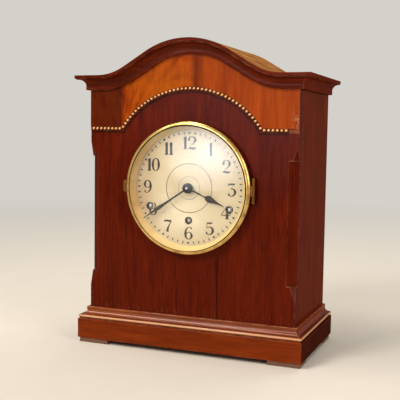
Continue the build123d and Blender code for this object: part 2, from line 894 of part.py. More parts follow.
bezel_rear = back_ring_thickness + bezel_rest_gap
bezel_bore = bezel_radius - bezel_wall
lip_rear = bezel_height - bezel_lip_thickness
bezel_ease = bezel_round * (1 - math.sqrt(0.5))
with BuildPart() as bezel_ring:
    with BuildSketch(turning()):
        with BuildLine():
            Polyline(
                (bezel_bore, bezel_rear),
                (bezel_radius, bezel_rear),
                (bezel_radius, bezel_height - bezel_round),
                (bezel_radius - bezel_ease, bezel_height - bezel_ease),
                (bezel_radius - bezel_round, bezel_height),
                (bezel_lip_radius, bezel_height),
                (bezel_lip_radius, lip_rear),
                (bezel_bore, lip_rear),
                close=True,
            )
        make_face()
    revolve(axis=axis_at())
finish(bezel_ring, "bezel_ring")

glass_radius = bezel_bore - fit_gap
glass_sphere = (glass_radius**2 + glass_rise**2) / (2 * glass_rise)
glass_centre_y = front_y - glass_edge - glass_rise + glass_sphere
with BuildPart() as dial_glass:
    bar(0, dial_height, glass_radius, -glass_edge - 2 * glass_rise, glass_thickness - glass_edge)
    with Locations((0, glass_centre_y, dial_height)):
        Sphere(glass_sphere, mode=Mode.INTERSECT)
    with Locations((0, glass_centre_y + glass_thickness, dial_height)):
        Sphere(glass_sphere, mode=Mode.SUBTRACT)
finish(dial_glass, "dial_glass")

sight_front = glass_edge - glass_thickness - fit_gap
with BuildPart() as sight_ring:
    with BuildSketch(turning()):
        with BuildLine():
            Polyline(
                (glass_radius, sight_front),
                (bezel_lip_radius - fit_gap, sight_front),
                (sight_throat_radius, sight_throat_depth),
                (sight_throat_radius + sight_thickness, sight_throat_depth),
                (bezel_lip_radius + sight_thickness / 2, sight_front - sight_flange),
                (glass_radius, sight_front - sight_flange),
                close=True,
            )
        make_face()
    revolve(axis=axis_at())
finish(sight_ring, "sight_ring")

with BuildPart() as bezel_hinge_leaf:
    with Locations((bezel_hinge_offset, hinge_y, dial_height)):
        Cylinder(bezel_barrel_radius, bezel_knuckle_length)
        Box(
            bezel_hinge_offset - bezel_bore,
            2 * bezel_web,
            bezel_knuckle_length,
            align=(Align.MAX, Align.CENTER, Align.CENTER),
        )
        Cylinder(bezel_pin_radius + run_gap, bezel_knuckle_length, mode=Mode.SUBTRACT)
    bar(0, dial_height, bezel_radius, -bezel_height, 0, Mode.SUBTRACT)
finish(bezel_hinge_leaf, "bezel_hinge_leaf")

with BuildPart() as bezel_tab:
    with BuildSketch(upright(-tab_depth)):
        with Locations((-bezel_radius - tab_reach, dial_height)):
            RectangleRounded(tab_length, tab_height, tab_reach / 2, align=(Align.MIN, Align.CENTER))
    extrude(amount=tab_thickness)
    bar(0, dial_height, bezel_radius, -bezel_height, 0, Mode.SUBTRACT)
finish(bezel_tab, "bezel_tab")


# Hands
def hand_face(plane, length, stem, swell, leaf_share, swell_share):
    """Blade of a hand that points along local y: parallel stem, leaf and fine tip, given as half widths."""
    leaf_at = leaf_share * length
    swell_at = swell_share * length
    point_at = (1 - hand_point_share) * length
    half = [(stem, 0), (stem, leaf_at), (swell, swell_at), (hand_point, point_at), (hand_tip, length)]
    with BuildSketch(plane) as face:
        with BuildLine():
            Polyline(*half, *[(-across, along) for across, along in reversed(half)], close=True)
        make_face()
    return face.sketch


centre_arbor_bore = arbor_radius + run_gap
cannon_radius = centre_arbor_bore + cannon_wall
hour_pipe_bore = cannon_radius + run_gap
hour_pipe_radius = hour_pipe_bore + hour_pipe_wall

hour_plane = upright(-hour_depth, 0, dial_height, hour_angle)
minute_plane = upright(-minute_depth, 0, dial_height, minute_angle)

with BuildPart() as hour_hand:
    extrude(
        hand_face(hour_plane, hour_length, hour_stem, hour_swell, hour_leaf_share, hour_swell_share),
        amount=hand_thickness,
    )
    bar(0, dial_height, hour_hub_radius, -hour_depth - hand_thickness, -hour_depth)
    bar(0, dial_height, hour_pipe_radius, -hour_depth - hand_thickness, -hour_depth, Mode.SUBTRACT)
finish(hour_hand, "hour_hand")

boss_front = minute_depth + minute_boss_height
with BuildPart() as minute_hand:
    extrude(
        hand_face(
            minute_plane, minute_length, minute_stem, minute_swell, minute_leaf_share, minute_swell_share
        ),
        amount=hand_thickness,
    )
    with BuildSketch(turning()):
        with BuildLine():
            Polyline(
                (cannon_radius, boss_front),
                (cannon_radius, minute_depth),
                (minute_boss_radius, minute_depth),
                (minute_boss_radius, minute_depth + minute_boss_rim),
                ((cannon_radius + minute_boss_radius) / 2, boss_front - minute_boss_rim / 2),
                close=True,
            )
        make_face()
    revolve(axis=axis_at())
    bar(0, dial_height, cannon_radius, -boss_front, -minute_depth, Mode.SUBTRACT)
finish(minute_hand, "minute_hand")

# Movement: plates, pillars and bolts
train_bores = {
    intermediate_place: arbor_radius,
    centre_place: arbor_radius,
    third_place: third_arbor_radius,
    escape_place: escape_arbor_radius,
    anchor_place: arbor_radius,
    going_place: winding_arbor_radius,
    strike_place: winding_arbor_radius,
    chime_place: winding_arbor_radius,
}


def movement_plate(depth):
    """Plate with cut upper corners, bored for the arbors and the pillar tenons."""
    middle = dial_height + (plate_bottom + plate_top) / 2
    with BuildSketch(upright(depth, 0, middle)) as face:
        Rectangle(2 * plate_half_width, plate_top - plate_bottom)
        chamfer(face.vertices().group_by(Axis.Z)[-1], plate_corner_cut)
    extrude(face.sketch, amount=-plate_thickness)
    rear = depth + plate_thickness
    for place, radius in train_bores.items():
        bar(place[0], dial_height + place[1], radius + run_gap, depth, rear, Mode.SUBTRACT)
    for place in pillar_places:
        bar(place[0], dial_height + place[1], pillar_tenon_radius, depth, rear, Mode.SUBTRACT)


with BuildPart() as front_plate:
    movement_plate(front_plate_depth)
    for x, place_z in dial_pillar_places:
        bar(x, dial_height + place_z, dial_pillar_tenon, front_plate_depth, inside_front, Mode.SUBTRACT)
    bar(
        minute_wheel_place[0],
        dial_height + minute_wheel_place[1],
        arbor_radius,
        hour_wheel_depth - pinion_overlap - run_gap,
        front_plate_depth + plate_thickness / 2,
    )
finish(front_plate, "front_plate")

with BuildPart() as back_plate:
    movement_plate(back_plate_depth)
finish(back_plate, "back_plate")

with BuildPart() as plate_pillars:
    for place in pillar_places:
        bar(place[0], dial_height + place[1], pillar_radius, inside_front, back_plate_depth)
        bar(
            place[0],
            dial_height + place[1],
            pillar_tenon_radius,
            front_plate_depth - pillar_proud,
            rear_face + pillar_proud,
        )
    for x, place_z in pillar_places[:2]:
        with Locations((x, bolt_y, dial_height + place_z - pillar_radius)):
            Cylinder(bolt_radius, 2 * bolt_bite, mode=Mode.SUBTRACT)
finish(plate_pillars, "plate_pillars")

with BuildPart() as movement_bolts:
    for x, place_z in pillar_places[:2]:
        bolt_top = dial_height + place_z - pillar_radius + bolt_bite
        with Locations((x, bolt_y, seat_bottom)):
            Cylinder(bolt_head_radius, bolt_head_height, align=(Align.CENTER, Align.CENTER, Align.MAX))
            Cylinder(bolt_radius, bolt_top - seat_bottom, align=(Align.CENTER, Align.CENTER, Align.MIN))
finish(movement_bolts, "movement_bolts")

with BuildPart() as dial_pillars:
    for x, place_z in dial_pillar_places:
        z = dial_height + place_z
        bar(x, z, dial_pillar_radius, dial_thickness, front_plate_depth)
        bar(x, z, dial_pillar_tenon, front_plate_depth, inside_front + pillar_proud)
finish(dial_pillars, "dial_pillars")

# Movement: barrels and winding arbors of the three trains
great_depth = inside_front + barrel_end_gap
great_bearings = {
    "going": bearing_to(going_place, intermediate_place),
    "strike": 0.0,
    "chime": 0.0,
}
for train, place in winding_places.items():
    x = place[0]
    z = dial_height + place[1]
    great_plane = upright(great_depth, x, z)
    with BuildPart() as barrel:
        extrude(
            gear_face(great_plane, great_teeth, great_module, wheel_tooth, great_bearings[train]),
            amount=-great_thickness,
        )
        bar(x, z, barrel_radius, great_depth, great_depth + great_thickness + barrel_length)
        bar(
            x,
            z,
            winding_arbor_radius + run_gap,
            great_depth,
            great_depth + great_thickness + barrel_length,
            Mode.SUBTRACT,
        )
    finish(barrel, f"{train}_barrel")

    ratchet_depth = front_plate_depth - ratchet_gap - ratchet_thickness
    with BuildPart() as winding_arbor:
        bar(x, z, winding_arbor_radius, ratchet_depth, rear_face)
        extrude(
            saw_face(
                upright(ratchet_depth, x, z), ratchet_teeth, ratchet_radius, ratchet_tooth_depth, ratchet_lean
            ),
            amount=-ratchet_thickness,
        )
        with BuildSketch(upright(winding_square_setback, x, z)):
            Rectangle(winding_square, winding_square)
        extrude(amount=winding_square_setback - ratchet_depth)
    finish(winding_arbor, f"{train}_winding_arbor")


# Movement: wheels and pinions of the time train
def wheel(place, depth, teeth, module, bearing):
    """Crossed-out wheel on an arbor."""
    plane = upright(depth, place[0], dial_height + place[1])
    extrude(gear_face(plane, teeth, module, wheel_tooth, bearing), amount=-wheel_thickness)
    rim_radius = module * teeth / 2 - module - crossing_rim
    extrude(crossings(plane, rim_radius), amount=-wheel_thickness, mode=Mode.SUBTRACT)


def pinion(place, depth, teeth, module, bearing, length=pinion_length):
    """Solid pinion on an arbor."""
    plane = upright(depth, place[0], dial_height + place[1])
    extrude(gear_face(plane, teeth, module, pinion_tooth, bearing), amount=-length)


def arbor(place, radius, start=front_plate_depth, end=rear_face):
    """Arbor that runs in the two plates."""
    bar(place[0], dial_height + place[1], radius, start, end)


to_intermediate = bearing_to(going_place, intermediate_place)
to_centre = bearing_to(intermediate_place, centre_place)
to_third = bearing_to(centre_place, third_place)
to_escape = bearing_to(third_place, escape_place)
to_minute_wheel = bearing_to(centre_place, minute_wheel_place)

with BuildPart() as intermediate_wheel:
    arbor(intermediate_place, arbor_radius)
    wheel(intermediate_place, intermediate_depth, intermediate_teeth, intermediate_module, to_centre)
    pinion(
        intermediate_place,
        great_depth,
        intermediate_pinion_teeth,
        great_module,
        meshing(to_intermediate, intermediate_pinion_teeth),
    )
finish(intermediate_wheel, "intermediate_wheel")

with BuildPart() as centre_wheel:
    arbor(centre_place, arbor_radius, -cannon_reach)
    wheel(centre_place, centre_depth, centre_teeth, centre_module, to_third)
    pinion(
        centre_place,
        intermediate_depth - pinion_overlap,
        centre_pinion_teeth,
        intermediate_module,
        meshing(to_centre, centre_pinion_teeth),
    )
finish(centre_wheel, "centre_wheel")

with BuildPart() as third_wheel:
    arbor(third_place, third_arbor_radius)
    wheel(third_place, third_depth, third_teeth, third_module, to_escape)
    pinion(
        third_place,
        centre_depth - pinion_overlap,
        third_pinion_teeth,
        centre_module,
        meshing(to_third, third_pinion_teeth),
    )
    arbor(third_place, crossing_hub / 2, third_depth, third_depth + wheel_thickness)
finish(third_wheel, "third_wheel")

with BuildPart() as escape_wheel:
    escape_plane = upright(escape_depth, escape_place[0], dial_height + escape_place[1])
    arbor(escape_place, escape_arbor_radius)
    extrude(
        saw_face(escape_plane, escape_teeth, escape_radius, escape_tooth_depth, escape_lean),
        amount=-wheel_thickness,
    )
    extrude(
        crossings(escape_plane, escape_radius - escape_tooth_depth - crossing_rim / 2),
        amount=-wheel_thickness,
        mode=Mode.SUBTRACT,
    )
    pinion(
        escape_place,
        third_depth - pinion_overlap,
        escape_pinion_teeth,
        third_module,
        meshing(to_escape, escape_pinion_teeth),
    )
finish(escape_wheel, "escape_wheel")

# Movement: motion work between the front plate and the dial
with BuildPart() as cannon_pinion:
    pinion(
        centre_place,
        minute_wheel_depth - pinion_overlap / 2,
        cannon_teeth,
        cannon_module,
        to_minute_wheel + 180 / cannon_teeth,
        wheel_thickness + pinion_overlap,
    )
    bar(0, dial_height, cannon_radius, -cannon_reach, minute_wheel_depth)
    bar(
        0,
        dial_height,
        centre_arbor_bore,
        -cannon_reach,
        minute_wheel_depth + wheel_thickness + pinion_overlap,
        Mode.SUBTRACT,
    )
finish(cannon_pinion, "cannon_pinion")

with BuildPart() as minute_wheel:
    wheel(
        minute_wheel_place, minute_wheel_depth, minute_wheel_teeth, cannon_module, to_minute_wheel + 180
    )
    pinion(
        minute_wheel_place,
        hour_wheel_depth - pinion_overlap,
        minute_pinion_teeth,
        hour_module,
        meshing(to_minute_wheel, minute_pinion_teeth),
        minute_wheel_depth - hour_wheel_depth + pinion_overlap,
    )
    bar(
        minute_wheel_place[0],
        dial_height + minute_wheel_place[1],
        arbor_radius + run_gap,
        0,
        front_plate_depth,
        Mode.SUBTRACT,
    )
finish(minute_wheel, "minute_wheel")

with BuildPart() as hour_wheel:
    wheel(centre_place, hour_wheel_depth, hour_wheel_teeth, hour_module, to_minute_wheel)
    bar(0, dial_height, hour_pipe_radius, -hour_pipe_reach, hour_wheel_depth + wheel_thickness)
    bar(0, dial_height, hour_pipe_bore, -hour_pipe_reach, hour_wheel_depth + wheel_thickness, Mode.SUBTRACT)
finish(hour_wheel, "hour_wheel")

# Escapement: anchor with its crutch, hung in the front plate and the suspension cock
anchor_z = dial_height + anchor_place[1]
escape_z = dial_height + escape_place[1]
with BuildPart() as pallet_anchor:
    with BuildSketch(upright(escape_depth - (anchor_thickness - wheel_thickness) / 2, 0, escape_z)):
        with BuildLine():
            spread = math.radians(anchor_half_angle)
            arcs = []
            for radius, angles in (
                (anchor_inner_radius, (-spread, 0, spread)),
                (anchor_outer_radius, (spread, 0, -spread)),
            ):
                arcs.append([(radius * math.sin(angle), radius * math.cos(angle)) for angle in angles])
            ThreePointArc(*arcs[0])
            Line(arcs[0][-1], arcs[1][0])
            ThreePointArc(*arcs[1])
            Line(arcs[1][-1], arcs[0][0])
        make_face()
        with Locations((0, anchor_z - escape_z)):
            Circle(anchor_hub_radius)
    extrude(amount=-anchor_thickness)
    arbor(anchor_place, arbor_radius, front_plate_depth, cock_lug_end)
    with BuildSketch(upright(crutch_depth, 0, anchor_z)):
        with Locations((0, -crutch_length / 2)):
            SlotCenterToCenter(crutch_length, crutch_width, rotation=90)
        with Locations((0, -crutch_length)):
            SlotCenterToCenter(2 * (rod_radius + fit_gap + crutch_pin_radius), crutch_width)
    extrude(amount=-crutch_thickness)
    for side in (-1, 1):
        bar(
            side * (rod_radius + fit_gap + crutch_pin_radius),
            anchor_z - crutch_length,
            crutch_pin_radius,
            crutch_depth,
            pendulum_depth + 2 * rod_radius,
        )
finish(pallet_anchor, "pallet_anchor")

cock_front = front_y + rear_face
with BuildPart() as suspension_cock:
    block(
        (-cock_half_width, cock_front, anchor_z + cock_arm_drop),
        (cock_half_width, cock_front + plate_thickness, anchor_z + cock_rise),
    )
    block(
        (-cock_lug_half, cock_front, anchor_z + cock_arm_drop),
        (cock_lug_half, front_y + cock_arm_reach, anchor_z + cock_arm_drop + cock_arm_height),
    )
    block(
        (-cock_lug_half, front_y + cock_lug_depth, anchor_z - cock_lug_half),
        (cock_lug_half, front_y + cock_lug_end, anchor_z + cock_arm_drop),
    )
    bar(0, anchor_z, arbor_radius + run_gap, cock_lug_depth, cock_lug_end, Mode.SUBTRACT)
    block(
        (-cock_lug_half, front_y + strip_low - strip_width / 2, anchor_z + cock_jaw_lift),
        (cock_lug_half, front_y + cock_arm_reach, anchor_z + cock_arm_drop),
    )
    block(
        (-cock_slot / 2, front_y + strip_low - strip_width / 2, anchor_z),
        (cock_slot / 2, front_y + cock_arm_reach, anchor_z + strip_rise + strip_thickness),
        Mode.SUBTRACT,
    )
finish(suspension_cock, "suspension_cock")

bob_z = anchor_z - pendulum_length
rod_bottom = bob_z - bob_radius - rod_tail
rod_top = anchor_z - rod_top_drop
with BuildPart() as pendulum_rod:
    block(
        (-strip_thickness / 2, front_y + strip_low, rod_top - strip_rise),
        (strip_thickness / 2, front_y + strip_high, anchor_z + strip_rise),
    )
    with Locations((0, front_y + pendulum_depth, rod_bottom)):
        Cylinder(rod_radius, rod_top - rod_bottom, align=(Align.CENTER, Align.CENTER, Align.MIN))
    with Locations((0, front_y + pendulum_depth, bob_z - bob_radius)):
        Cylinder(rating_nut_radius, rating_nut_height, align=(Align.CENTER, Align.CENTER, Align.MAX))
finish(pendulum_rod, "pendulum_rod")

bob_half = bob_thickness / 2
bob_outline = [(bob_radius, bob_rim / 2), (bob_radius - bob_bevel, bob_half), (0, bob_half)]
with BuildPart() as pendulum_bob:
    with BuildSketch(Plane(origin=(0, front_y + pendulum_depth, bob_z), x_dir=(1, 0, 0), z_dir=(0, 0, 1))):
        with BuildLine():
            Polyline(*[(across, -half) for across, half in reversed(bob_outline)], *bob_outline, close=True)
        make_face()
    revolve(axis=axis_at(0, bob_z))
    with Locations((0, front_y + pendulum_depth, bob_z)):
        Cylinder(rod_radius, 3 * bob_radius, mode=Mode.SUBTRACT)
finish(pendulum_bob, "pendulum_bob")

# Gong block, rods and hammers on the base board
gong_right = gong_block_left + gong_block_width
rod_z = board_top + gong_rod_height
rod_depths = [gong_first + index * gong_pitch for index in range(hammer_count)]
with BuildPart() as gong_block:
    block(
        (gong_block_left, front_y + gong_block_front, board_top),
        (gong_right, front_y + gong_block_front + gong_block_depth, board_top + gong_block_height),
    )
finish(gong_block, "gong_block")

with BuildPart() as gong_rods:
    for index, depth in enumerate(rod_depths):
        length = gong_rod_length - index * gong_rod_step
        with Locations(Location((gong_right + length / 2, front_y + depth, rod_z), (0, 90, 0))):
            Cylinder(gong_rod_radius, length)
finish(gong_rods, "gong_rods")

pivot_z = board_top + hammer_pivot_rise
frame_front = rod_depths[0] - gong_pitch / 2 - hammer_frame_plate
frame_back = rod_depths[-1] + gong_pitch / 2 + hammer_frame_plate
with BuildPart() as hammer_frame:
    block(
        (hammer_pivot_x - hammer_frame_base / 2, front_y + frame_front, board_top),
        (hammer_pivot_x + hammer_frame_base / 2, front_y + frame_back, board_top + hammer_frame_plate),
    )
    for start in (frame_front, frame_back - hammer_frame_plate):
        end = start + hammer_frame_plate
        block(
            (hammer_pivot_x - hammer_hub_radius, front_y + start, board_top),
            (hammer_pivot_x + hammer_hub_radius, front_y + end, pivot_z + hammer_hub_radius),
        )
    bar(hammer_pivot_x, pivot_z, arbor_radius, frame_front, frame_back)
finish(hammer_frame, "hammer_frame")

head_x = hammer_pivot_x - hammer_arm_length
head_low = rod_z + gong_rod_radius + hammer_rest_gap
arm_end = hammer_pivot_x + hammer_tail_length
arm_half = hammer_arm_width / 2
for index, depth in enumerate(rod_depths):
    hub_front = depth - hammer_hub_length / 2
    hub_back = depth + hammer_hub_length / 2
    with BuildPart() as hammer:
        bar(hammer_pivot_x, pivot_z, hammer_hub_radius, hub_front, hub_back)
        block(
            (head_x, front_y + depth - arm_half, pivot_z - arm_half),
            (arm_end, front_y + depth + arm_half, pivot_z + arm_half),
        )
        with Locations((head_x, front_y + depth, head_low)):
            Cylinder(hammer_head_radius, hammer_head_height, align=(Align.CENTER, Align.CENTER, Align.MIN))
        bar(hammer_pivot_x, pivot_z, arbor_radius + run_gap, hub_front, hub_back, Mode.SUBTRACT)
    finish(hammer, f"hammer_{index + 1}")
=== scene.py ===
"""Upright mantel clock with a serpentine top: finishes, dial, bezel, hands, beads, screws and studio."""

import json
import math

import bpy
from mathutils import Matrix, Vector


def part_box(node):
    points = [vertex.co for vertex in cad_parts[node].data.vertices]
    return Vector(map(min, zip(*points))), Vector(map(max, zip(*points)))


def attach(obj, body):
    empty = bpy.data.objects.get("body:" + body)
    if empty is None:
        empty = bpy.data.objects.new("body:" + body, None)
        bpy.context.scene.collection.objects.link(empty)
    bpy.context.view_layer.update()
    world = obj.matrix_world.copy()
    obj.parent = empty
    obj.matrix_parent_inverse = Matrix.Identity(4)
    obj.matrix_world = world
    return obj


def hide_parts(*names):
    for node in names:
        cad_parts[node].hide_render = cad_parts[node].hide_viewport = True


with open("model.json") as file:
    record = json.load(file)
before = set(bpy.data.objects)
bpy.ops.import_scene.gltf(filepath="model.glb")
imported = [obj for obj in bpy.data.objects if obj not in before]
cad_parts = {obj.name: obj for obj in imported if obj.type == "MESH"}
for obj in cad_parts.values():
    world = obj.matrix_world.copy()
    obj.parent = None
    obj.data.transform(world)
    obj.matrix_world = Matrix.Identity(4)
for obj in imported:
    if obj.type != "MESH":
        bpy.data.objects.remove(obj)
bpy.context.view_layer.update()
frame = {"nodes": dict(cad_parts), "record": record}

MM = 0.001

# Places read from the frame, in metres
front_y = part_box("front_panel")[0].y
dial_low, dial_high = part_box("dial_plate")
dial_centre = (dial_low + dial_high) / 2
dial_face_y = dial_low.y

# Camera, in millimetres and degrees, from the edges of the case in the photograph
CAMERA_RIGHT = 367.8
CAMERA_AHEAD = 888.3
CAMERA_HEIGHT = 273.1
CAMERA_YAW = 21.68
CAMERA_PITCH = 4.87
CAMERA_ROLL = 0.85
CAMERA_LENS = 70.57
CAMERA_SENSOR = 36.0

# Bead moulding, in millimetres, as on the strip under the frieze
ARCH_RADIUS = 110.0
ARCH_APEX = 326.5
ARCH_HALF = 92.0
ARCH_CENTRE = ARCH_APEX - ARCH_RADIUS
FLAT_HEIGHT = ARCH_CENTRE + math.sqrt(ARCH_RADIUS**2 - ARCH_HALF**2)
CASE_HALF = 137.0
LOST_LENGTH = 12.0


def linear(hex_colour):
    """Linear colour of an sRGB hex value."""
    channels = []
    for start in (1, 3, 5):
        share = int(hex_colour[start:start + 2], 16) / 255
        channels.append(share / 12.92 if share <= 0.04045 else ((share + 0.055) / 1.055) ** 2.4)
    return (*channels, 1.0)


def add(tree, kind, sockets, **settings):
    """Add a shader node with its settings. A socket takes a plain value, another node's output, or a node
    for its first output."""
    node = tree.nodes.new("ShaderNode" + kind)
    for name, value in settings.items():
        setattr(node, name, value)
    for name, value in sockets.items():
        if isinstance(value, bpy.types.Node):
            value = value.outputs[0]
        if isinstance(value, bpy.types.NodeSocket):
            tree.links.new(value, node.inputs[name])
        else:
            node.inputs[name].default_value = value
    return node


def new_material(name):
    """An empty material, its node tree, and the place of a point on the object."""
    material = bpy.data.materials.new(name)
    material.use_nodes = True
    tree = material.node_tree
    tree.nodes.clear()
    return material, tree, add(tree, "TexCoord", {}).outputs["Object"]


def per_mm(across, along, grain):
    """Pattern scale for features of these sizes in millimetres, with the long way along the grain axis."""
    return [1 / (MM * (along if axis == grain else across)) for axis in range(3)]


def stained(tree, colour, *stains):
    """Lay stains over a colour one after another, each a share of the surface and a tone."""
    for share, tone in stains:
        colour = add(tree, "Mix", {0: share, 6: colour, 7: linear(tone)}, data_type="RGBA").outputs[2]
    return colour


def in_all(tree, *shares):
    """The share of the surface that lies in all of these shares: their product."""
    product = shares[0]
    for share in shares[1:]:
        product = add(tree, "Math", {0: product, 1: share}, operation="MULTIPLY")
    return product


def near_line(tree, place, axis, line, outer, inner, strength=1.0):
    """Share that is at full strength within the inner distance of a line across an axis and gone at the outer
    distance, all in millimetres."""
    along = add(tree, "SeparateXYZ", {"Vector": place}).outputs[axis]
    aside = add(tree, "Math", {0: along, 1: line * MM}, operation="SUBTRACT")
    away = add(tree, "Math", {0: aside}, operation="ABSOLUTE")
    return add(tree, "MapRange", {
        "Value": away, "From Min": outer * MM, "From Max": inner * MM, "To Max": strength,
    })


# Mahogany: fine straight fibre, broad colour bands and short dark pores under worn French polish, which
# gives a soft mirror and lighter arrises. Fibre and pores are drawn several times as coarse as real
# ones, to show. Sizes are in millimetres, across and along the grain.
FIBRE = (1.5, 42.0)
BAND = (15.0, 110.0)
PORE = (1.1, 12.0)
ARRIS_RADIUS = 0.7
WEAR_RADIUS = 1.3
WEAR_PATCH = 9.0
KNOCK_REACH = 14.0
KNOCK_HEART = 8.0


def french_polished(tree, colour, roughness, height, bevel, gloss):
    """Polished wood surface: eased arrises, a little pore relief and a thin mirror coat."""
    bump = add(tree, "Bump", {"Strength": 0.25, "Distance": 0.15 * MM, "Height": height, "Normal": bevel})
    surface = add(tree, "BsdfPrincipled", {
        "Base Color": colour, "Roughness": roughness, "IOR": 1.5, "Specular IOR Level": 0.0,
        "Coat Weight": gloss, "Coat Roughness": 0.09, "Coat IOR": 1.5,
        "Normal": bump, "Coat Normal": bevel,
    })
    add(tree, "OutputMaterial", {"Surface": surface})


def arris_wear(tree, place, colour, worn, knocks=()):
    """Polish rubbed through to paler wood along the arrises, most of all near the knocked heights."""
    normal = add(tree, "NewGeometry", {}).outputs["Normal"]
    eased = add(tree, "Bevel", {"Radius": WEAR_RADIUS * MM}, samples=6)
    facing = add(tree, "VectorMath", {0: eased, 1: normal}, operation="DOT_PRODUCT")
    edge = add(tree, "MapRange", {"Value": facing.outputs["Value"], "From Min": 0.985, "From Max": 0.86})
    patch = add(tree, "TexNoise", {"Vector": place, "Scale": 1 / (WEAR_PATCH * MM), "Detail": 3.0})
    rubbed = add(tree, "MapRange", {"Value": patch, "From Min": 0.44, "From Max": 0.64, "To Max": 0.6})
    for height in knocks:
        near = near_line(tree, place, 2, height, KNOCK_REACH, KNOCK_HEART)
        broken = add(tree, "MapRange", {"Value": patch, "From Min": 0.34, "From Max": 0.62, "To Max": 0.85})
        knocked = in_all(tree, near, broken)
        rubbed = add(tree, "Math", {0: rubbed, 1: knocked}, operation="MAXIMUM")
    return stained(tree, colour, (in_all(tree, edge, rubbed), worn))


def mahogany(name, grain, dark, middle, light, pore, worn, gloss=0.1, marks=None, knocks=()):
    """Straight-grained mahogany, its grain along axis 0, 1 or 2. Marks add local wear or painted light and
    shade, knocks add local wear, and arrises without a worn tone keep their polish."""
    material, tree, place = new_material(name)
    bevel = add(tree, "Bevel", {"Radius": ARRIS_RADIUS * MM}, samples=6)
    noises = []
    for size, detail, distortion in ((BAND, 4.0, 1.3), (FIBRE, 5.0, 0.4), (PORE, 2.0, 0.0)):
        stretched = add(tree, "Mapping", {"Vector": place, "Scale": per_mm(*size, grain)})
        noises.append(add(tree, "TexNoise", {
            "Vector": stretched, "Scale": 1.0, "Detail": detail, "Distortion": distortion,
        }))
    bands, fibres, pores = noises
    band = add(tree, "MapRange", {"Value": bands, "From Min": 0.32, "From Max": 0.68})
    fibre = add(tree, "MapRange", {"Value": fibres, "From Min": 0.4, "From Max": 0.76, "To Max": 0.36})
    open_pore = add(tree, "MapRange", {"Value": pores, "From Min": 0.56, "From Max": 0.72, "To Max": 0.4})
    colour = stained(tree, linear(dark), (band, middle), (fibre, light), (open_pore, pore))
    if marks:
        colour = marks(tree, place, colour)
    if worn:
        colour = arris_wear(tree, place, colour, worn, knocks)
    roughness = add(tree, "MapRange", {"Value": fibres, "To Min": 0.3, "To Max": 0.5})
    french_polished(tree, colour, roughness, pores, bevel, gloss)
    return material


# Wear of the front, in millimetres: an opened joint between its boards, scuffs at its foot, painted shadow
# and old polish in a band under the bead moulding, and the bare glue line where the end of that moulding is
# lost
JOINT_PLACE = 38.5
JOINT_OUTER = 1.9
JOINT_INNER = 0.3
JOINT_FADES = 128.0
JOINT_FULL = 118.0
SCRATCH = (0.9, 9.0)
SCUFF_FADES = 60.0
SCUFF_FULL = 47.0
# Band of painted shadow and old polish under the bead moulding
SHADOW_AND_POLISH_OUTER = 5.6
SHADOW_AND_POLISH_INNER = 3.0
SHADOW_AND_POLISH_FADES = 7.0
SHADOW_AND_POLISH_FULL = 5.0
GLUE_OUTER = 2.9
GLUE_INNER = 2.2
GLUE_PATCH = 4.0
BREAK_SOFTNESS = 0.5


def below_moulding(tree, axes):
    """How far a place on the front lies below the middle line of the bead moulding, in metres. It holds at
    the moulding's own heights, not further down."""
    rise = add(tree, "Math", {0: axes.outputs[2], 1: ARCH_CENTRE * MM}, operation="SUBTRACT")
    from_centre = add(tree, "CombineXYZ", {0: axes.outputs[0], 2: rise})
    reach = add(tree, "VectorMath", {0: from_centre}, operation="LENGTH")
    in_arch = add(tree, "Math", {0: ARCH_RADIUS * MM, 1: reach.outputs["Value"]}, operation="SUBTRACT")
    below_flat = add(tree, "Math", {0: FLAT_HEIGHT * MM, 1: axes.outputs[2]}, operation="SUBTRACT")
    aside = add(tree, "Math", {0: axes.outputs[0]}, operation="ABSOLUTE")
    on_flat = add(tree, "Math", {0: aside, 1: ARCH_HALF * MM}, operation="GREATER_THAN")
    return add(tree, "Mix", {0: on_flat, 2: in_arch, 3: below_flat})


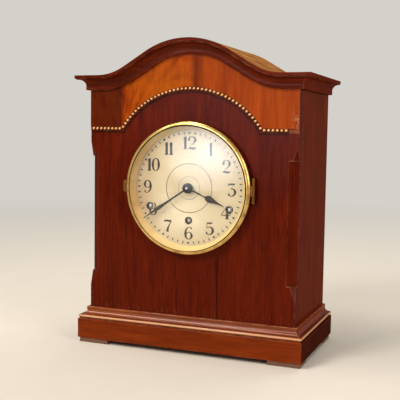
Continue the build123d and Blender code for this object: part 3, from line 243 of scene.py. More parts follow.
def front_marks(tree, place, colour):
    """Opened joint below the bezel, rubbed foot, painted shadow and old polish under the beads, glue line of
    their lost end.
    """
    axes = add(tree, "SeparateXYZ", {"Vector": place})
    across = axes.outputs[0]
    up = axes.outputs[2]
    line = near_line(tree, place, 0, JOINT_PLACE, JOINT_OUTER, JOINT_INNER, 0.85)
    low = add(tree, "MapRange", {"Value": up, "From Min": JOINT_FADES * MM, "From Max": JOINT_FULL * MM})
    joint = in_all(tree, line, low)

    scratch_place = add(tree, "Mapping", {"Vector": place, "Scale": per_mm(*SCRATCH, 2)})
    scratch = add(tree, "TexNoise", {"Vector": scratch_place, "Scale": 1.0, "Detail": 2.0})
    rubbed = add(tree, "MapRange", {"Value": scratch, "From Min": 0.58, "From Max": 0.7})
    foot = add(tree, "MapRange", {
        "Value": up, "From Min": SCUFF_FADES * MM, "From Max": SCUFF_FULL * MM, "To Max": 0.4,
    })
    scuffed = in_all(tree, rubbed, foot)

    facing = add(tree, "SeparateXYZ", {"Vector": add(tree, "NewGeometry", {}).outputs["Normal"]})
    on_face = add(tree, "MapRange", {"Value": facing.outputs[1], "From Min": -0.4, "From Max": -0.8})
    break_line = (CASE_HALF - LOST_LENGTH) * MM
    beyond = add(tree, "MapRange", {
        "Value": across,
        "From Min": break_line - BREAK_SOFTNESS * MM, "From Max": break_line + BREAK_SOFTNESS * MM,
    })
    kept = add(tree, "Math", {0: 1.0, 1: beyond}, operation="SUBTRACT")
    # Painted shadow of the frieze and beads, with old polish, in a band just under the bead moulding
    shadowed_band = add(tree, "MapRange", {
        "Value": below_moulding(tree, axes),
        "From Min": SHADOW_AND_POLISH_OUTER * MM, "From Max": SHADOW_AND_POLISH_INNER * MM, "To Max": 0.85,
    })
    high_up = add(tree, "MapRange", {
        "Value": up,
        "From Min": (FLAT_HEIGHT - SHADOW_AND_POLISH_FADES) * MM, "From Max": (FLAT_HEIGHT - SHADOW_AND_POLISH_FULL) * MM,
    })
    painted_shadow_and_polish = in_all(tree, shadowed_band, high_up, kept, on_face)

    strip = near_line(tree, place, 2, FLAT_HEIGHT, GLUE_OUTER, GLUE_INNER)
    patch = add(tree, "TexNoise", {"Vector": place, "Scale": 1 / (GLUE_PATCH * MM), "Detail": 3.0})
    torn = add(tree, "MapRange", {"Value": patch, "From Min": 0.3, "From Max": 0.6, "To Min": 0.4})
    bare = in_all(tree, strip, beyond, on_face, torn)
    return stained(
        tree, colour, (joint, "#250904"), (scuffed, "#9A5738"), (painted_shadow_and_polish, "#1C0602"), (bare, "#8A4A2A"),
    )


# Dust and painted sheen on the roof board's upper face, in millimetres: streaks that run from front to back,
# across and along, and clouds
ROOF_STREAK = (2.5, 70.0)
ROOF_CLOUD = 45.0


def roof_marks(tree, place, colour):
    """Upper face of the roof board made tan, partly dust and partly a painted reflection of the light on it.
    """
    facing = add(tree, "SeparateXYZ", {"Vector": add(tree, "NewGeometry", {}).outputs["Normal"]})
    upward = add(tree, "MapRange", {"Value": facing.outputs[2], "From Min": 0.45, "From Max": 0.7})
    stretched = add(tree, "Mapping", {"Vector": place, "Scale": per_mm(*ROOF_STREAK, 1)})
    streak = add(tree, "TexNoise", {"Vector": stretched, "Scale": 1.0, "Detail": 5.0, "Distortion": 0.8})
    grain = add(tree, "MapRange", {"Value": streak, "From Min": 0.34, "From Max": 0.66})
    # The tan tone stands for dust and for painted sheen
    dusty = stained(tree, linear("#8A5526"), (grain, "#C08A4C"))
    cloud = add(tree, "TexNoise", {"Vector": place, "Scale": 1 / (ROOF_CLOUD * MM), "Detail": 4.0})
    patch = add(tree, "MapRange", {"Value": cloud, "From Min": 0.3, "From Max": 0.65, "To Min": 0.45})
    dusty_and_lit = in_all(tree, upward, patch)
    return add(tree, "Mix", {0: dusty_and_lit, 6: colour, 7: dusty}, data_type="RGBA").outputs[2]


# Painted lines along the base moulding, dark for the shade and old polish in its quirks and pale for the
# highlight on its bead: height and half width in millimetres, strength and colour
MOULDING_SHADE_AND_HIGHLIGHT = (
    (43.0, 0.4, 0.5, "#3A1206"),
    (36.3, 0.6, 0.45, "#2E0D04"),
    (34.5, 1.1, 0.66, "#F0B07C"),
    (32.0, 0.7, 0.45, "#2E0D04"),
)


def moulding_marks(tree, place, colour):
    """Painted shade and old polish dark in the quirks of the base moulding, and a painted highlight along its
    bead.
    """
    stains = []
    for height, half, strength, tone in MOULDING_SHADE_AND_HIGHLIGHT:
        stains.append((near_line(tree, place, 2, height, 1.5 * half, 0.5 * half, strength), tone))
    return stained(tree, colour, *stains)


# Direction from the beads to the light that their painted highlight and painted shade stand for
PAINTED_LIGHT_SIDE = (0.05, -0.83, 0.55)


def bead_marks(tree, place, colour):
    """Painted highlight on the upper front of each bead, and painted shade on its lower half and round it."""
    normal = add(tree, "NewGeometry", {}).outputs["Normal"]
    upward = add(tree, "VectorMath", {0: normal, 1: PAINTED_LIGHT_SIDE}, operation="DOT_PRODUCT").outputs["Value"]
    # Painted highlight where the bead faces the light
    painted_highlight = add(tree, "MapRange", {"Value": upward, "From Min": 0.74, "From Max": 0.97})
    # Painted shade on the lower half of each bead, turned away from the light
    foot = add(tree, "MapRange", {"Value": upward, "From Min": 0.74, "From Max": 0.38, "To Max": 0.94})
    return stained(tree, colour, (foot, "#240A03"), (painted_highlight, "#FCC083"))


# Frieze veneer, in millimetres: the fork that the flame fans from, the ribbon and fibre across and along the
# grain, the change from flame to ribbon, a paler glow, the joints with their half widths and depths of tone,
# the end of the dark left leaf, and the chipped lower right corner
FORK_X = -92.0
FORK_Z = 262.0
FLAME_LENGTH = 45.0
FLAME_TONGUES = 4.5
RIBBON = (9.0, 90.0)
VENEER_FIBRE = (1.6, 34.0)
RIBBON_STARTS = -12.0
RIBBON_FULL = 10.0
GLOW_X = -36.0
GLOW_Z = 326.4
GLOW_WIDTH = 40.0
GLOW_HEIGHT = 32.0
FRIEZE_JOINTS = ((7.5, 4.5, 0.6), (15.0, 2.2, 0.3), (44.0, 2.0, 0.25))
JOINT_TONE = "#451306"
LEAF_FADES = -87.0
LEAF_FULL = -94.0
CHIP_SIZE = 3.0
CHIPS_START_X = 127.0
CHIPS_FULL_X = 136.0
CHIPS_START_Z = 306.0
CHIPS_FULL_Z = 292.0


def figured_mahogany(name):
    """Frieze veneer: a dark leaf at the left end, a swirling flame, then straight ribbon with dark joints."""
    material, tree, place = new_material(name)
    bevel = add(tree, "Bevel", {"Radius": ARRIS_RADIUS * MM}, samples=6)
    axes = add(tree, "SeparateXYZ", {"Vector": place})
    across = axes.outputs[0]
    up = axes.outputs[2]
    fork_x = add(tree, "Math", {0: across, 1: FORK_X * MM}, operation="SUBTRACT")
    fork_z = add(tree, "Math", {0: up, 1: FORK_Z * MM}, operation="SUBTRACT")
    bearing = add(tree, "Math", {0: fork_z, 1: fork_x}, operation="ARCTAN2")
    fan = add(tree, "Math", {0: bearing, 1: FLAME_TONGUES}, operation="MULTIPLY")
    from_fork = add(tree, "CombineXYZ", {0: fork_x, 2: fork_z})
    reach = add(tree, "VectorMath", {0: from_fork}, operation="LENGTH")
    reach_along = add(tree, "Math", {
        0: reach.outputs["Value"], 1: 1 / (FLAME_LENGTH * MM),
    }, operation="MULTIPLY")
    plume = add(tree, "CombineXYZ", {0: fan, 1: reach_along})
    feather = add(tree, "TexNoise", {"Vector": plume, "Scale": 1.0, "Detail": 5.0, "Distortion": 2.4})
    flame = add(tree, "MapRange", {"Value": feather, "From Min": 0.36, "From Max": 0.6})

    upright_grain = add(tree, "Mapping", {"Vector": place, "Scale": per_mm(*RIBBON, 2)})
    ribbon = add(tree, "TexNoise", {
        "Vector": upright_grain, "Scale": 1.0, "Detail": 4.0, "Distortion": 0.5,
    })
    wide_ribbon = add(tree, "MapRange", {"Value": ribbon, "From Min": 0.15, "From Max": 0.75})
    right = add(tree, "MapRange", {
        "Value": across, "From Min": RIBBON_STARTS * MM, "From Max": RIBBON_FULL * MM,
    })
    figure = add(tree, "Mix", {0: right, 2: flame, 3: wide_ribbon})
    glow_place = add(tree, "Mapping", {
        "Vector": place, "Location": (-GLOW_X / GLOW_WIDTH, 0, -GLOW_Z / GLOW_HEIGHT),
        "Scale": (1 / (GLOW_WIDTH * MM), 0, 1 / (GLOW_HEIGHT * MM)),
    })
    glow_reach = add(tree, "VectorMath", {0: glow_place}, operation="LENGTH")
    glow = add(tree, "MapRange", {
        "Value": glow_reach.outputs["Value"], "From Min": 1.5, "From Max": 0.2, "To Max": 0.55,
    })
    fine = add(tree, "Mapping", {"Vector": place, "Scale": per_mm(*VENEER_FIBRE, 2)})
    fibre = add(tree, "TexNoise", {"Vector": fine, "Scale": 1.0, "Detail": 5.0, "Distortion": 0.4})
    streak = add(tree, "MapRange", {"Value": fibre, "From Min": 0.48, "From Max": 0.76, "To Max": 0.42})

    joints = []
    for joint_x, half, depth in FRIEZE_JOINTS:
        joints.append((near_line(tree, place, 0, joint_x, 1.6 * half, 0.3 * half, depth), JOINT_TONE))
    left_leaf = add(tree, "MapRange", {
        "Value": across, "From Min": LEAF_FADES * MM, "From Max": LEAF_FULL * MM, "To Max": 0.85,
    })
    chip = add(tree, "TexNoise", {"Vector": place, "Scale": 1 / (CHIP_SIZE * MM), "Detail": 5.0})
    broken = add(tree, "MapRange", {"Value": chip, "From Min": 0.46, "From Max": 0.6, "To Max": 0.6})
    near_edge = add(tree, "MapRange", {
        "Value": across, "From Min": CHIPS_START_X * MM, "From Max": CHIPS_FULL_X * MM,
    })
    low_down = add(tree, "MapRange", {
        "Value": up, "From Min": CHIPS_START_Z * MM, "From Max": CHIPS_FULL_Z * MM,
    })
    chipped = in_all(tree, near_edge, low_down, broken)
    colour = stained(
        tree, linear("#7E2803"), (figure, "#AE4A06"), (glow, "#BC600A"),
        (streak, "#5E1D06"), *joints, (left_leaf, JOINT_TONE), (chipped, "#C08A68"),
    )
    colour = arris_wear(tree, place, colour, "#C9854F")
    roughness = add(tree, "MapRange", {"Value": fibre, "To Min": 0.28, "To Max": 0.45})
    french_polished(tree, colour, roughness, fibre, bevel, 0.045)
    return material


# Grain of the softwood, in millimetres across and along
SOFTWOOD_FIBRE = (2.2, 80.0)


def unpolished_wood(name, grain, dark, light):
    """Sawn and planed softwood of the feet, base, seat and back: open grain, no polish, dusty."""
    material, tree, place = new_material(name)
    stretched = add(tree, "Mapping", {"Vector": place, "Scale": per_mm(*SOFTWOOD_FIBRE, grain)})
    fibre = add(tree, "TexNoise", {"Vector": stretched, "Scale": 1.0, "Detail": 5.0, "Distortion": 0.6})
    band = add(tree, "MapRange", {"Value": fibre, "From Min": 0.35, "From Max": 0.68})
    colour = stained(tree, linear(dark), (band, light))
    bump = add(tree, "Bump", {"Strength": 0.5, "Distance": 0.2 * MM, "Height": fibre})
    surface = add(tree, "BsdfPrincipled", {"Base Color": colour, "Roughness": 0.75, "Normal": bump})
    add(tree, "OutputMaterial", {"Surface": surface})
    return material


# Eased edges of the brass, in millimetres
BRASS_EDGE = 0.3


def brass(name, bright, tarnish, smooth, rough, patch_size):
    """Spun or rolled brass, hand polished: a warm mirror, browner in clouds of tarnish, and its side walls
    darkened as painted shade.
    """
    material, tree, place = new_material(name)
    bevel = add(tree, "Bevel", {"Radius": BRASS_EDGE * MM}, samples=4)
    cloud = add(tree, "TexNoise", {
        "Vector": place, "Scale": 1 / (patch_size * MM), "Detail": 5.0, "Roughness": 0.6,
    })
    patch = add(tree, "MapRange", {"Value": cloud, "From Min": 0.45, "From Max": 0.75})
    # Side walls, whose normals lie across the front, are darkened as painted shade; dull holds tarnish and
    # that shade
    facing = add(tree, "SeparateXYZ", {"Vector": add(tree, "NewGeometry", {}).outputs["Normal"]})
    outward = add(tree, "Math", {0: facing.outputs[1]}, operation="ABSOLUTE")
    painted_shade_wall = add(tree, "MapRange", {"Value": outward, "From Min": 0.5, "From Max": 0.05, "To Max": 0.6})
    dull = add(tree, "Math", {0: patch, 1: painted_shade_wall}, operation="MAXIMUM")
    colour = stained(tree, linear(bright), (dull, tarnish))
    roughness = add(tree, "MapRange", {
        "Value": cloud, "From Min": 0.3, "From Max": 0.75, "To Min": smooth, "To Max": rough,
    })
    surface = add(tree, "BsdfPrincipled", {
        "Base Color": colour, "Metallic": 1.0, "Roughness": roughness, "Normal": bevel,
    })
    add(tree, "OutputMaterial", {"Surface": surface})
    return material


# Age of the silvered dial, in millimetres from its centre: the yellowed left, the dull rim, clouds and spots,
# the cleaned place and the turned circles
YELLOW_STARTS = -26.0
YELLOW_FULL = -76.0
RIM_STARTS = 40.0
RIM_FULL = 80.0
DIAL_CLOUD = 34.0
DIAL_SPOT = 3.2
CLEANED_LEFT = 10.0
CLEANED_DOWN = 30.0
CLEANED_OUTER = 40.0
CLEANED_INNER = 8.0
TURNED_CIRCLE = 9.0


def silvered_brass(name, silver, cleaned, yellowed, spotted):
    """Silvered brass under old lacquer: pale turned satin, cleaner below the centre, yellowed to the left."""
    material, tree, place = new_material(name)
    centred = add(tree, "Mapping", {"Vector": place, "Location": tuple(-dial_centre)})
    across = add(tree, "SeparateXYZ", {"Vector": centred}).outputs[0]
    left = add(tree, "MapRange", {
        "Value": across, "From Min": YELLOW_STARTS * MM, "From Max": YELLOW_FULL * MM,
    })
    radius = add(tree, "VectorMath", {0: centred}, operation="LENGTH")
    rim = add(tree, "MapRange", {
        "Value": radius.outputs["Value"],
        "From Min": RIM_STARTS * MM, "From Max": RIM_FULL * MM, "To Max": 0.35,
    })
    cloud = add(tree, "TexNoise", {"Vector": place, "Scale": 1 / (DIAL_CLOUD * MM), "Detail": 4.0})
    mottle = add(tree, "MapRange", {"Value": cloud, "From Min": 0.25, "From Max": 0.65, "To Min": 0.35})
    edge = add(tree, "Math", {0: left, 1: rim}, operation="MAXIMUM")
    worn_edge = in_all(tree, edge, mottle)
    patina = add(tree, "MapRange", {"Value": cloud, "From Min": 0.35, "From Max": 0.7, "To Max": 0.3})
    age = add(tree, "Math", {0: worn_edge, 1: patina}, operation="MAXIMUM")
    spots = add(tree, "TexNoise", {"Vector": place, "Scale": 1 / (DIAL_SPOT * MM), "Detail": 3.0})
    fox = add(tree, "MapRange", {"Value": spots, "From Min": 0.66, "From Max": 0.74, "To Max": 0.35})
    rubbed_place = add(tree, "Mapping", {
        "Vector": centred, "Location": (CLEANED_LEFT * MM, 0, CLEANED_DOWN * MM),
    })
    rubbed_reach = add(tree, "VectorMath", {0: rubbed_place}, operation="LENGTH")
    rubbed = add(tree, "MapRange", {
        "Value": rubbed_reach.outputs["Value"],
        "From Min": CLEANED_OUTER * MM, "From Max": CLEANED_INNER * MM,
    })
    colour = stained(tree, linear(silver), (rubbed, cleaned), (age, yellowed), (fox, spotted))
    turned = add(tree, "TexWave", {
        "Vector": centred, "Scale": 1 / (TURNED_CIRCLE * MM), "Distortion": 0.6, "Detail": 2.0,
    }, wave_type="RINGS", rings_direction="Y")
    bump = add(tree, "Bump", {"Strength": 0.05, "Distance": 0.05 * MM, "Height": turned.outputs["Fac"]})
    surface = add(tree, "BsdfPrincipled", {
        "Base Color": colour, "Metallic": 0.1, "Roughness": 0.5, "Specular IOR Level": 0.15,
        "Normal": bump,
    })
    add(tree, "OutputMaterial", {"Surface": surface})
    return material


# Stains on steel, waves in the glass and thin places in the wax, in millimetres
STEEL_STAIN = 5.0
GLASS_WAVE = 45.0
WAX_PATCH = 2.5


def steel(name, colour, stain, roughness):
    """Filed and polished steel or iron, a grey mirror broken by fine stains."""
    material, tree, place = new_material(name)
    cloud = add(tree, "TexNoise", {"Vector": place, "Scale": 1 / (STEEL_STAIN * MM), "Detail": 5.0})
    patch = add(tree, "MapRange", {"Value": cloud, "From Min": 0.45, "From Max": 0.7})
    tone = stained(tree, linear(colour), (patch, stain))
    rough = add(tree, "MapRange", {"Value": cloud, "To Min": 0.7 * roughness, "To Max": 1.4 * roughness})
    surface = add(tree, "BsdfPrincipled", {"Base Color": tone, "Metallic": 1.0, "Roughness": rough})
    add(tree, "OutputMaterial", {"Surface": surface})
    return material


def clear_glass(name):
    """Convex clock glass: clear, faintly wavy, and passing lamp light to the dial behind it."""
    material, tree, place = new_material(name)
    wave = add(tree, "TexNoise", {"Vector": place, "Scale": 1 / (GLASS_WAVE * MM), "Detail": 1.0})
    bump = add(tree, "Bump", {"Strength": 0.02, "Distance": 0.4 * MM, "Height": wave})
    glass = add(tree, "BsdfPrincipled", {
        "Base Color": linear("#FFFFFF"), "Roughness": 0.0, "IOR": 1.48, "Transmission Weight": 1.0,
        "Normal": bump,
    })
    clear = add(tree, "BsdfTransparent", {"Color": linear("#F7F7F2")})
    in_shadow = add(tree, "LightPath", {}).outputs["Is Shadow Ray"]
    both = add(tree, "MixShader", {0: in_shadow, 1: glass, 2: clear})
    add(tree, "OutputMaterial", {"Surface": both})
    return material


def black_wax(name):
    """Wax filled into engraved numerals: nearly black, slightly glossy, thinner and browner in places."""
    material, tree, place = new_material(name)
    cloud = add(tree, "TexNoise", {"Vector": place, "Scale": 1 / (WAX_PATCH * MM), "Detail": 3.0})
    thin = add(tree, "MapRange", {"Value": cloud, "From Min": 0.5, "From Max": 0.8})
    colour = stained(tree, linear("#0F0B08"), (thin, "#3A2C1A"))
    surface = add(tree, "BsdfPrincipled", {
        "Base Color": colour, "Roughness": 0.7, "Specular IOR Level": 0.15,
    })
    add(tree, "OutputMaterial", {"Surface": surface})
    return material


# Middle heights of the stops of the front's chamfers, in millimetres
STOP_HEIGHTS = (86.0, 250.0)

# Mahogany tones: dark and middle bands, light fibre, pores and worn arrises
FRONT = ("#460E03", "#5E1704", "#7A2A0B", "#280702", "#C28C6A")
SIDE = ("#4E1605", "#662108", "#82370E", "#320D04", "#A06038")
# The plinth's returns are a darker copy of its wood: painted shade for the sides
PLINTH_RETURN_SHADED = ("#330E04", "#461606", "#5C240C", "#200803", "#9C6038")
PLINTH = ("#672206", "#7E2F0A", "#964415", "#421404", "#C98B5E")
BEAD = ("#945424", "#B06A32", "#CA8448", "#78421A", None)
CORNICE = ("#461204", "#641E07", "#803210", "#2C0902", "#A8683F")
MOULDING = ("#74300C", "#904212", "#B05C22", "#4A1806", "#DCA67C")

# Materials by the record's slots, then those of nodes that differ in finish or in the grain's axis
polished = {
    "mahogany_front": mahogany(
        "mahogany_front_polished", 2, *FRONT, gloss=0.08, marks=front_marks, knocks=STOP_HEIGHTS,
    ),
    "mahogany_side": mahogany("mahogany_side_polished", 2, *SIDE, gloss=0.05),
    "mahogany_frieze": figured_mahogany("mahogany_frieze_figured"),
    "mahogany_cornice": mahogany("mahogany_cornice_polished", 0, *CORNICE),
    "mahogany_plinth": mahogany("mahogany_plinth_polished", 0, *PLINTH),
    "polished_bead": mahogany("walnut_bead_polished", 0, *BEAD, gloss=0.55, marks=bead_marks),
    "plain_wood": unpolished_wood("softwood_planed", 0, "#583622", "#80563A"),
    "polished_brass": brass("brass_polished", "#DAB268", "#7E521E", 0.14, 0.34, 16.0),
    "silvered_dial": silvered_brass("brass_silvered", "#BFB090", "#D0C4A8", "#8A6836", "#8A683A"),
    "dial_glass": clear_glass("glass_convex"),
    "blued_steel": steel("steel_blued", "#2A2321", "#1B1512", 0.34),
    "movement_brass": brass("brass_movement", "#CDA65A", "#AE8743", 0.2, 0.32, 34.0),
    "steel": steel("steel_polished", "#D2D0C9", "#98938A", 0.18),
    "iron": steel("iron_blacked", "#3A3733", "#5A4334", 0.5),
}
tarnished = brass("brass_tarnished", "#7C4E20", "#42280F", 0.2, 0.42, 8.0)
winding_steel = steel("steel_winding_square", "#B8B2A6", "#6A655B", 0.36)
polished_by_node = {
    # The strip behind the beads takes the dark cornice tones, so that it reads as painted shade under and
    # between them
    "bead_moulding": mahogany("mahogany_bead_strip", 0, *CORNICE),
    "sight_ring": silvered_brass("brass_sight_ring", "#D0B880", "#D0B880", "#A87626", "#8A6228"),
    "back_door": unpolished_wood("softwood_stained", 2, "#55301A", "#7C4E2C"),
    "back_top_rail": unpolished_wood("softwood_stained_rail", 0, "#55301A", "#7C4E2C"),
    "roof_board": mahogany("mahogany_roof_dust_and_sheen", 0, *CORNICE, gloss=0.03, marks=roof_marks),
    "cornice_returns": mahogany("mahogany_cornice_return", 1, *CORNICE, gloss=0.03),
    # Darker copy of the plinth's wood on its returns: painted shade
    "plinth_returns": mahogany("mahogany_plinth_return_shaded", 1, *PLINTH_RETURN_SHADED, gloss=0.03),
    "bezel_back_ring": tarnished,
    "bezel_hinge_leaf": tarnished,
    "bezel_tab": tarnished,
    "base_moulding_front": mahogany(
        "mahogany_moulding_polished", 0, *MOULDING, gloss=0.6, marks=moulding_marks,
    ),
    "base_moulding_returns": mahogany(
        "mahogany_moulding_return", 1, *PLINTH, gloss=0.2, marks=moulding_marks,
    ),
    "cannon_pinion": polished["blued_steel"],
    "going_winding_arbor": winding_steel,
    "strike_winding_arbor": winding_steel,
    "chime_winding_arbor": winding_steel,
}
for subpart in frame["record"]["subparts"]:
    node = frame["nodes"][subpart["node"]]
    finish = polished_by_node.get(subpart["node"], polished[subpart["material_slot"]])
    for material_slot in node.material_slots:
        material_slot.material = finish


# A turn that points a cylinder's or a ring's axis to the front
TO_FRONT = (math.radians(90), 0, 0)

# Points closer than this are made one, in millimetres
MERGE_DISTANCE = 0.001

# Edges flatter than this are shaded as round, in degrees, on turned metal and on beads and arbor ends
TURNED_EDGE = 35.0
ROUND_EDGE = 40.0


def deselect():
    """Leave nothing selected before a new piece is started."""
    bpy.ops.object.select_all(action="DESELECT")


def select_only(piece):
    """Select one piece and make it the active one."""
    deselect()
    piece.select_set(True)
    bpy.context.view_layer.objects.active = piece


def put_in_scene(name, data):
    """A new object that holds a mesh, curve, lamp or camera."""
    holder = bpy.data.objects.new(name, data)
    bpy.context.collection.objects.link(holder)
    return holder


def ease_edges(piece, width, segments):
    """Round the edges of the active piece by a width in millimetres."""
    easing = piece.modifiers.new("easing", "BEVEL")
    easing.width = width * MM
    easing.segments = segments
    bpy.ops.object.modifier_apply(modifier="easing")


def work_with(piece, tool, operation):
    """Cut a tool's shape out of a piece, or weld it on."""
    working = piece.modifiers.new("working", "BOOLEAN")
    working.object = tool
    working.operation = operation
    bpy.context.view_layer.objects.active = piece
    bpy.ops.object.modifier_apply(modifier="working")


def join_as(name, pieces, material, body):
    """Join pieces into one named piece with its place in its mesh, and let it ride on a body."""
    deselect()
    for piece in pieces:
        piece.select_set(True)
    bpy.context.view_layer.objects.active = pieces[0]
    if len(pieces) > 1:
        bpy.ops.object.join()
    bpy.ops.object.transform_apply(location=True, rotation=True, scale=True)
    joined = bpy.context.object
    joined.name = name
    joined.data.name = name
    joined.data.materials.clear()
    joined.data.materials.append(material)
    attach(joined, body)
    return joined


def copy_to(pattern, place, turn=0.0):
    """A copy of a piece with its own mesh, moved to a place and turned clockwise about the dial's axis."""
    piece = pattern.copy()
    piece.data = pattern.data.copy()
    bpy.context.collection.objects.link(piece)
    piece.location = place
    piece.rotation_euler = (0, turn, 0)
    return piece


# Dial markings, in millimetres
NUMERAL_HEIGHT = 15.6
NUMERAL_RADIUS = 55.5
TRACK_RADIUS = 67.5
DOT_RADIUS = 1.35
DASH_LENGTH = 3.3
DASH_WIDTH = 1.25
INK_RISE = 0.06
HOLE_RADIUS = 5.15
HOLE_DEPTH = 4.0

# Engraved rings of the dial: radius and width in millimetres, and how flat they lie as a share of the width
RING_SIZES = ((30.2, 0.95), (14.0, 0.6))
RING_FLATNESS = 0.12

# Numerals as pen strokes: across, up and half width, in shares of the numeral's height, as is the gap
NUMERAL_GAP = 0.05
THICK = 0.106
HAIR = 0.025
FINE = 0.014
SIX = [
    [(0.60, 0.82, 0.085), (0.59, 0.92, 0.04), (0.43, 0.98, HAIR), (0.20, 0.82, 0.06), (0.11, 0.45, THICK),
     (0.18, 0.14, 0.07), (0.38, 0.02, HAIR), (0.57, 0.13, 0.07), (0.63, 0.31, THICK), (0.56, 0.49, 0.06),
     (0.38, 0.58, HAIR), (0.20, 0.46, 0.04), (0.15, 0.36, 0.05)],
]
DIGITS = {
    "0": (0.70, [
        [(0.35, 0.98, HAIR), (0.61, 0.5, THICK), (0.35, 0.02, HAIR), (0.09, 0.5, THICK), (0.35, 0.98, HAIR)],
    ]),
    "1": (0.34, [
        [(0.19, 0.02, THICK), (0.19, 0.5, THICK), (0.19, 0.98, THICK)],
        [(0.17, 0.93, 0.05), (0.09, 0.86, 0.03), (0.01, 0.82, HAIR)],
        [(0.02, 0.015, HAIR), (0.19, 0.015, HAIR), (0.36, 0.015, HAIR)],
    ]),
    "2": (0.70, [
        [(0.17, 0.67, 0.12), (0.10, 0.82, 0.06), (0.33, 0.98, HAIR), (0.57, 0.89, 0.07), (0.62, 0.71, THICK),
         (0.51, 0.50, 0.05), (0.27, 0.26, FINE), (0.07, 0.06, FINE)],
        [(0.07, 0.05, 0.03), (0.22, 0.08, 0.07), (0.46, 0.06, 0.085), (0.63, 0.09, 0.05), (0.68, 0.2, FINE)],
    ]),
    "3": (0.70, [
        [(0.08, 0.80, HAIR), (0.09, 0.88, 0.035), (0.10, 0.94, 0.05)],
        [(0.10, 0.93, 0.06), (0.35, 0.93, 0.07), (0.62, 0.95, 0.055)],
        [(0.61, 0.95, FINE), (0.45, 0.76, FINE), (0.28, 0.58, FINE)],
        [(0.26, 0.57, HAIR), (0.48, 0.56, 0.05), (0.63, 0.34, THICK), (0.52, 0.10, 0.06), (0.32, 0.02, HAIR),
         (0.13, 0.10, 0.05), (0.12, 0.21, 0.085)],
    ]),
    "4": (0.76, [
        [(0.50, 0.97, 0.03), (0.26, 0.63, 0.03), (0.03, 0.30, 0.03)],
        [(0.03, 0.29, 0.03), (0.4, 0.29, 0.03), (0.76, 0.29, 0.03)],
        [(0.52, 0.95, THICK), (0.52, 0.5, THICK), (0.52, 0.02, THICK)],
        [(0.36, 0.015, HAIR), (0.52, 0.015, HAIR), (0.69, 0.015, HAIR)],
    ]),
    "5": (0.70, [
        [(0.15, 0.93, HAIR), (0.13, 0.72, HAIR), (0.12, 0.52, HAIR)],
        [(0.13, 0.93, 0.045), (0.35, 0.90, 0.07), (0.62, 0.96, 0.035)],
        [(0.12, 0.51, HAIR), (0.34, 0.61, 0.035), (0.58, 0.50, 0.075), (0.63, 0.31, THICK),
         (0.52, 0.10, 0.06), (0.31, 0.02, HAIR), (0.12, 0.10, 0.05), (0.11, 0.21, 0.085)],
    ]),
    "6": (0.70, SIX),
    "7": (0.68, [
        [(0.05, 0.78, HAIR), (0.07, 0.90, 0.055), (0.28, 0.92, 0.075), (0.49, 0.90, 0.075),
         (0.65, 0.94, 0.05)],
        [(0.65, 0.95, HAIR), (0.46, 0.56, 0.05), (0.34, 0.26, 0.08), (0.32, 0.03, THICK)],
    ]),
    "8": (0.70, [
        [(0.35, 0.98, HAIR), (0.55, 0.77, 0.062), (0.35, 0.54, HAIR), (0.15, 0.77, 0.062),
         (0.35, 0.98, HAIR)],
        [(0.35, 0.54, HAIR), (0.61, 0.28, 0.085), (0.35, 0.02, HAIR), (0.09, 0.28, 0.085),
         (0.35, 0.54, HAIR)],
    ]),
    "9": (0.70, [[(0.70 - across, 1 - up, half) for across, up, half in SIX[0]]]),
}


def pen_stroke(points, left):
    """One flat, slightly domed stroke of wax: a round tube through the points, pressed against the dial."""
    curve = bpy.data.curves.new("stroke", "CURVE")
    curve.dimensions = "3D"
    curve.resolution_u = 7
    curve.bevel_depth = NUMERAL_HEIGHT * MM
    curve.bevel_resolution = 2
    curve.use_fill_caps = True
    spline = curve.splines.new("BEZIER")
    closed = points[0] == points[-1]
    spline.use_cyclic_u = closed
    if closed:
        points = points[:-1]
    spline.bezier_points.add(len(points) - 1)
    for knot, (across, up, half) in zip(spline.bezier_points, points):
        knot.co = ((left + across) * NUMERAL_HEIGHT * MM, 0, (up - 0.5) * NUMERAL_HEIGHT * MM)
        knot.handle_left_type = "AUTO"
        knot.handle_right_type = "AUTO"
        knot.radius = half
    select_only(put_in_scene("stroke", curve))
    bpy.ops.object.convert(target="MESH")
    stroke = bpy.context.object
    deepest = NUMERAL_HEIGHT * max(half for _, _, half in points)
    stroke.scale = (1, INK_RISE / deepest, 1)
    bpy.ops.object.transform_apply(location=False, rotation=False, scale=True)
    return stroke


def numeral(text, place):
    """The strokes of one hour numeral, centred on a place on the dial."""
    width = sum(DIGITS[digit][0] for digit in text) + NUMERAL_GAP * (len(text) - 1)
    left = -width / 2
    strokes = []
    for digit in text:
        for points in DIGITS[digit][1]:
            strokes.append(pen_stroke(points, left))
        left += DIGITS[digit][0] + NUMERAL_GAP
    for stroke in strokes:
        stroke.location = place
    return strokes


def on_dial(radius, turn):
    """Place on the dial's face at a radius in millimetres and a clockwise turn from twelve."""
    reach = radius * MM
    return dial_axis + Vector((reach * math.sin(turn), 0, reach * math.cos(turn)))


def on_arbor(node, y):
    """Place on an arbor's axis at a depth."""
    low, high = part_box(node)
    return ((low.x + high.x) / 2, y, (low.z + high.z) / 2)


def clear_of_hole(strokes, arbor):
    """Cut the strokes of a numeral back where the winding hole round an arbor runs through it."""
    deselect()
    bpy.ops.mesh.primitive_cylinder_add(
        vertices=64, radius=HOLE_RADIUS * MM, depth=HOLE_DEPTH * MM, rotation=TO_FRONT,
        location=on_arbor(arbor, dial_face_y),
    )
    cutter = bpy.context.object
    for stroke in strokes:
        work_with(stroke, cutter, "DIFFERENCE")
    bpy.data.objects.remove(cutter)


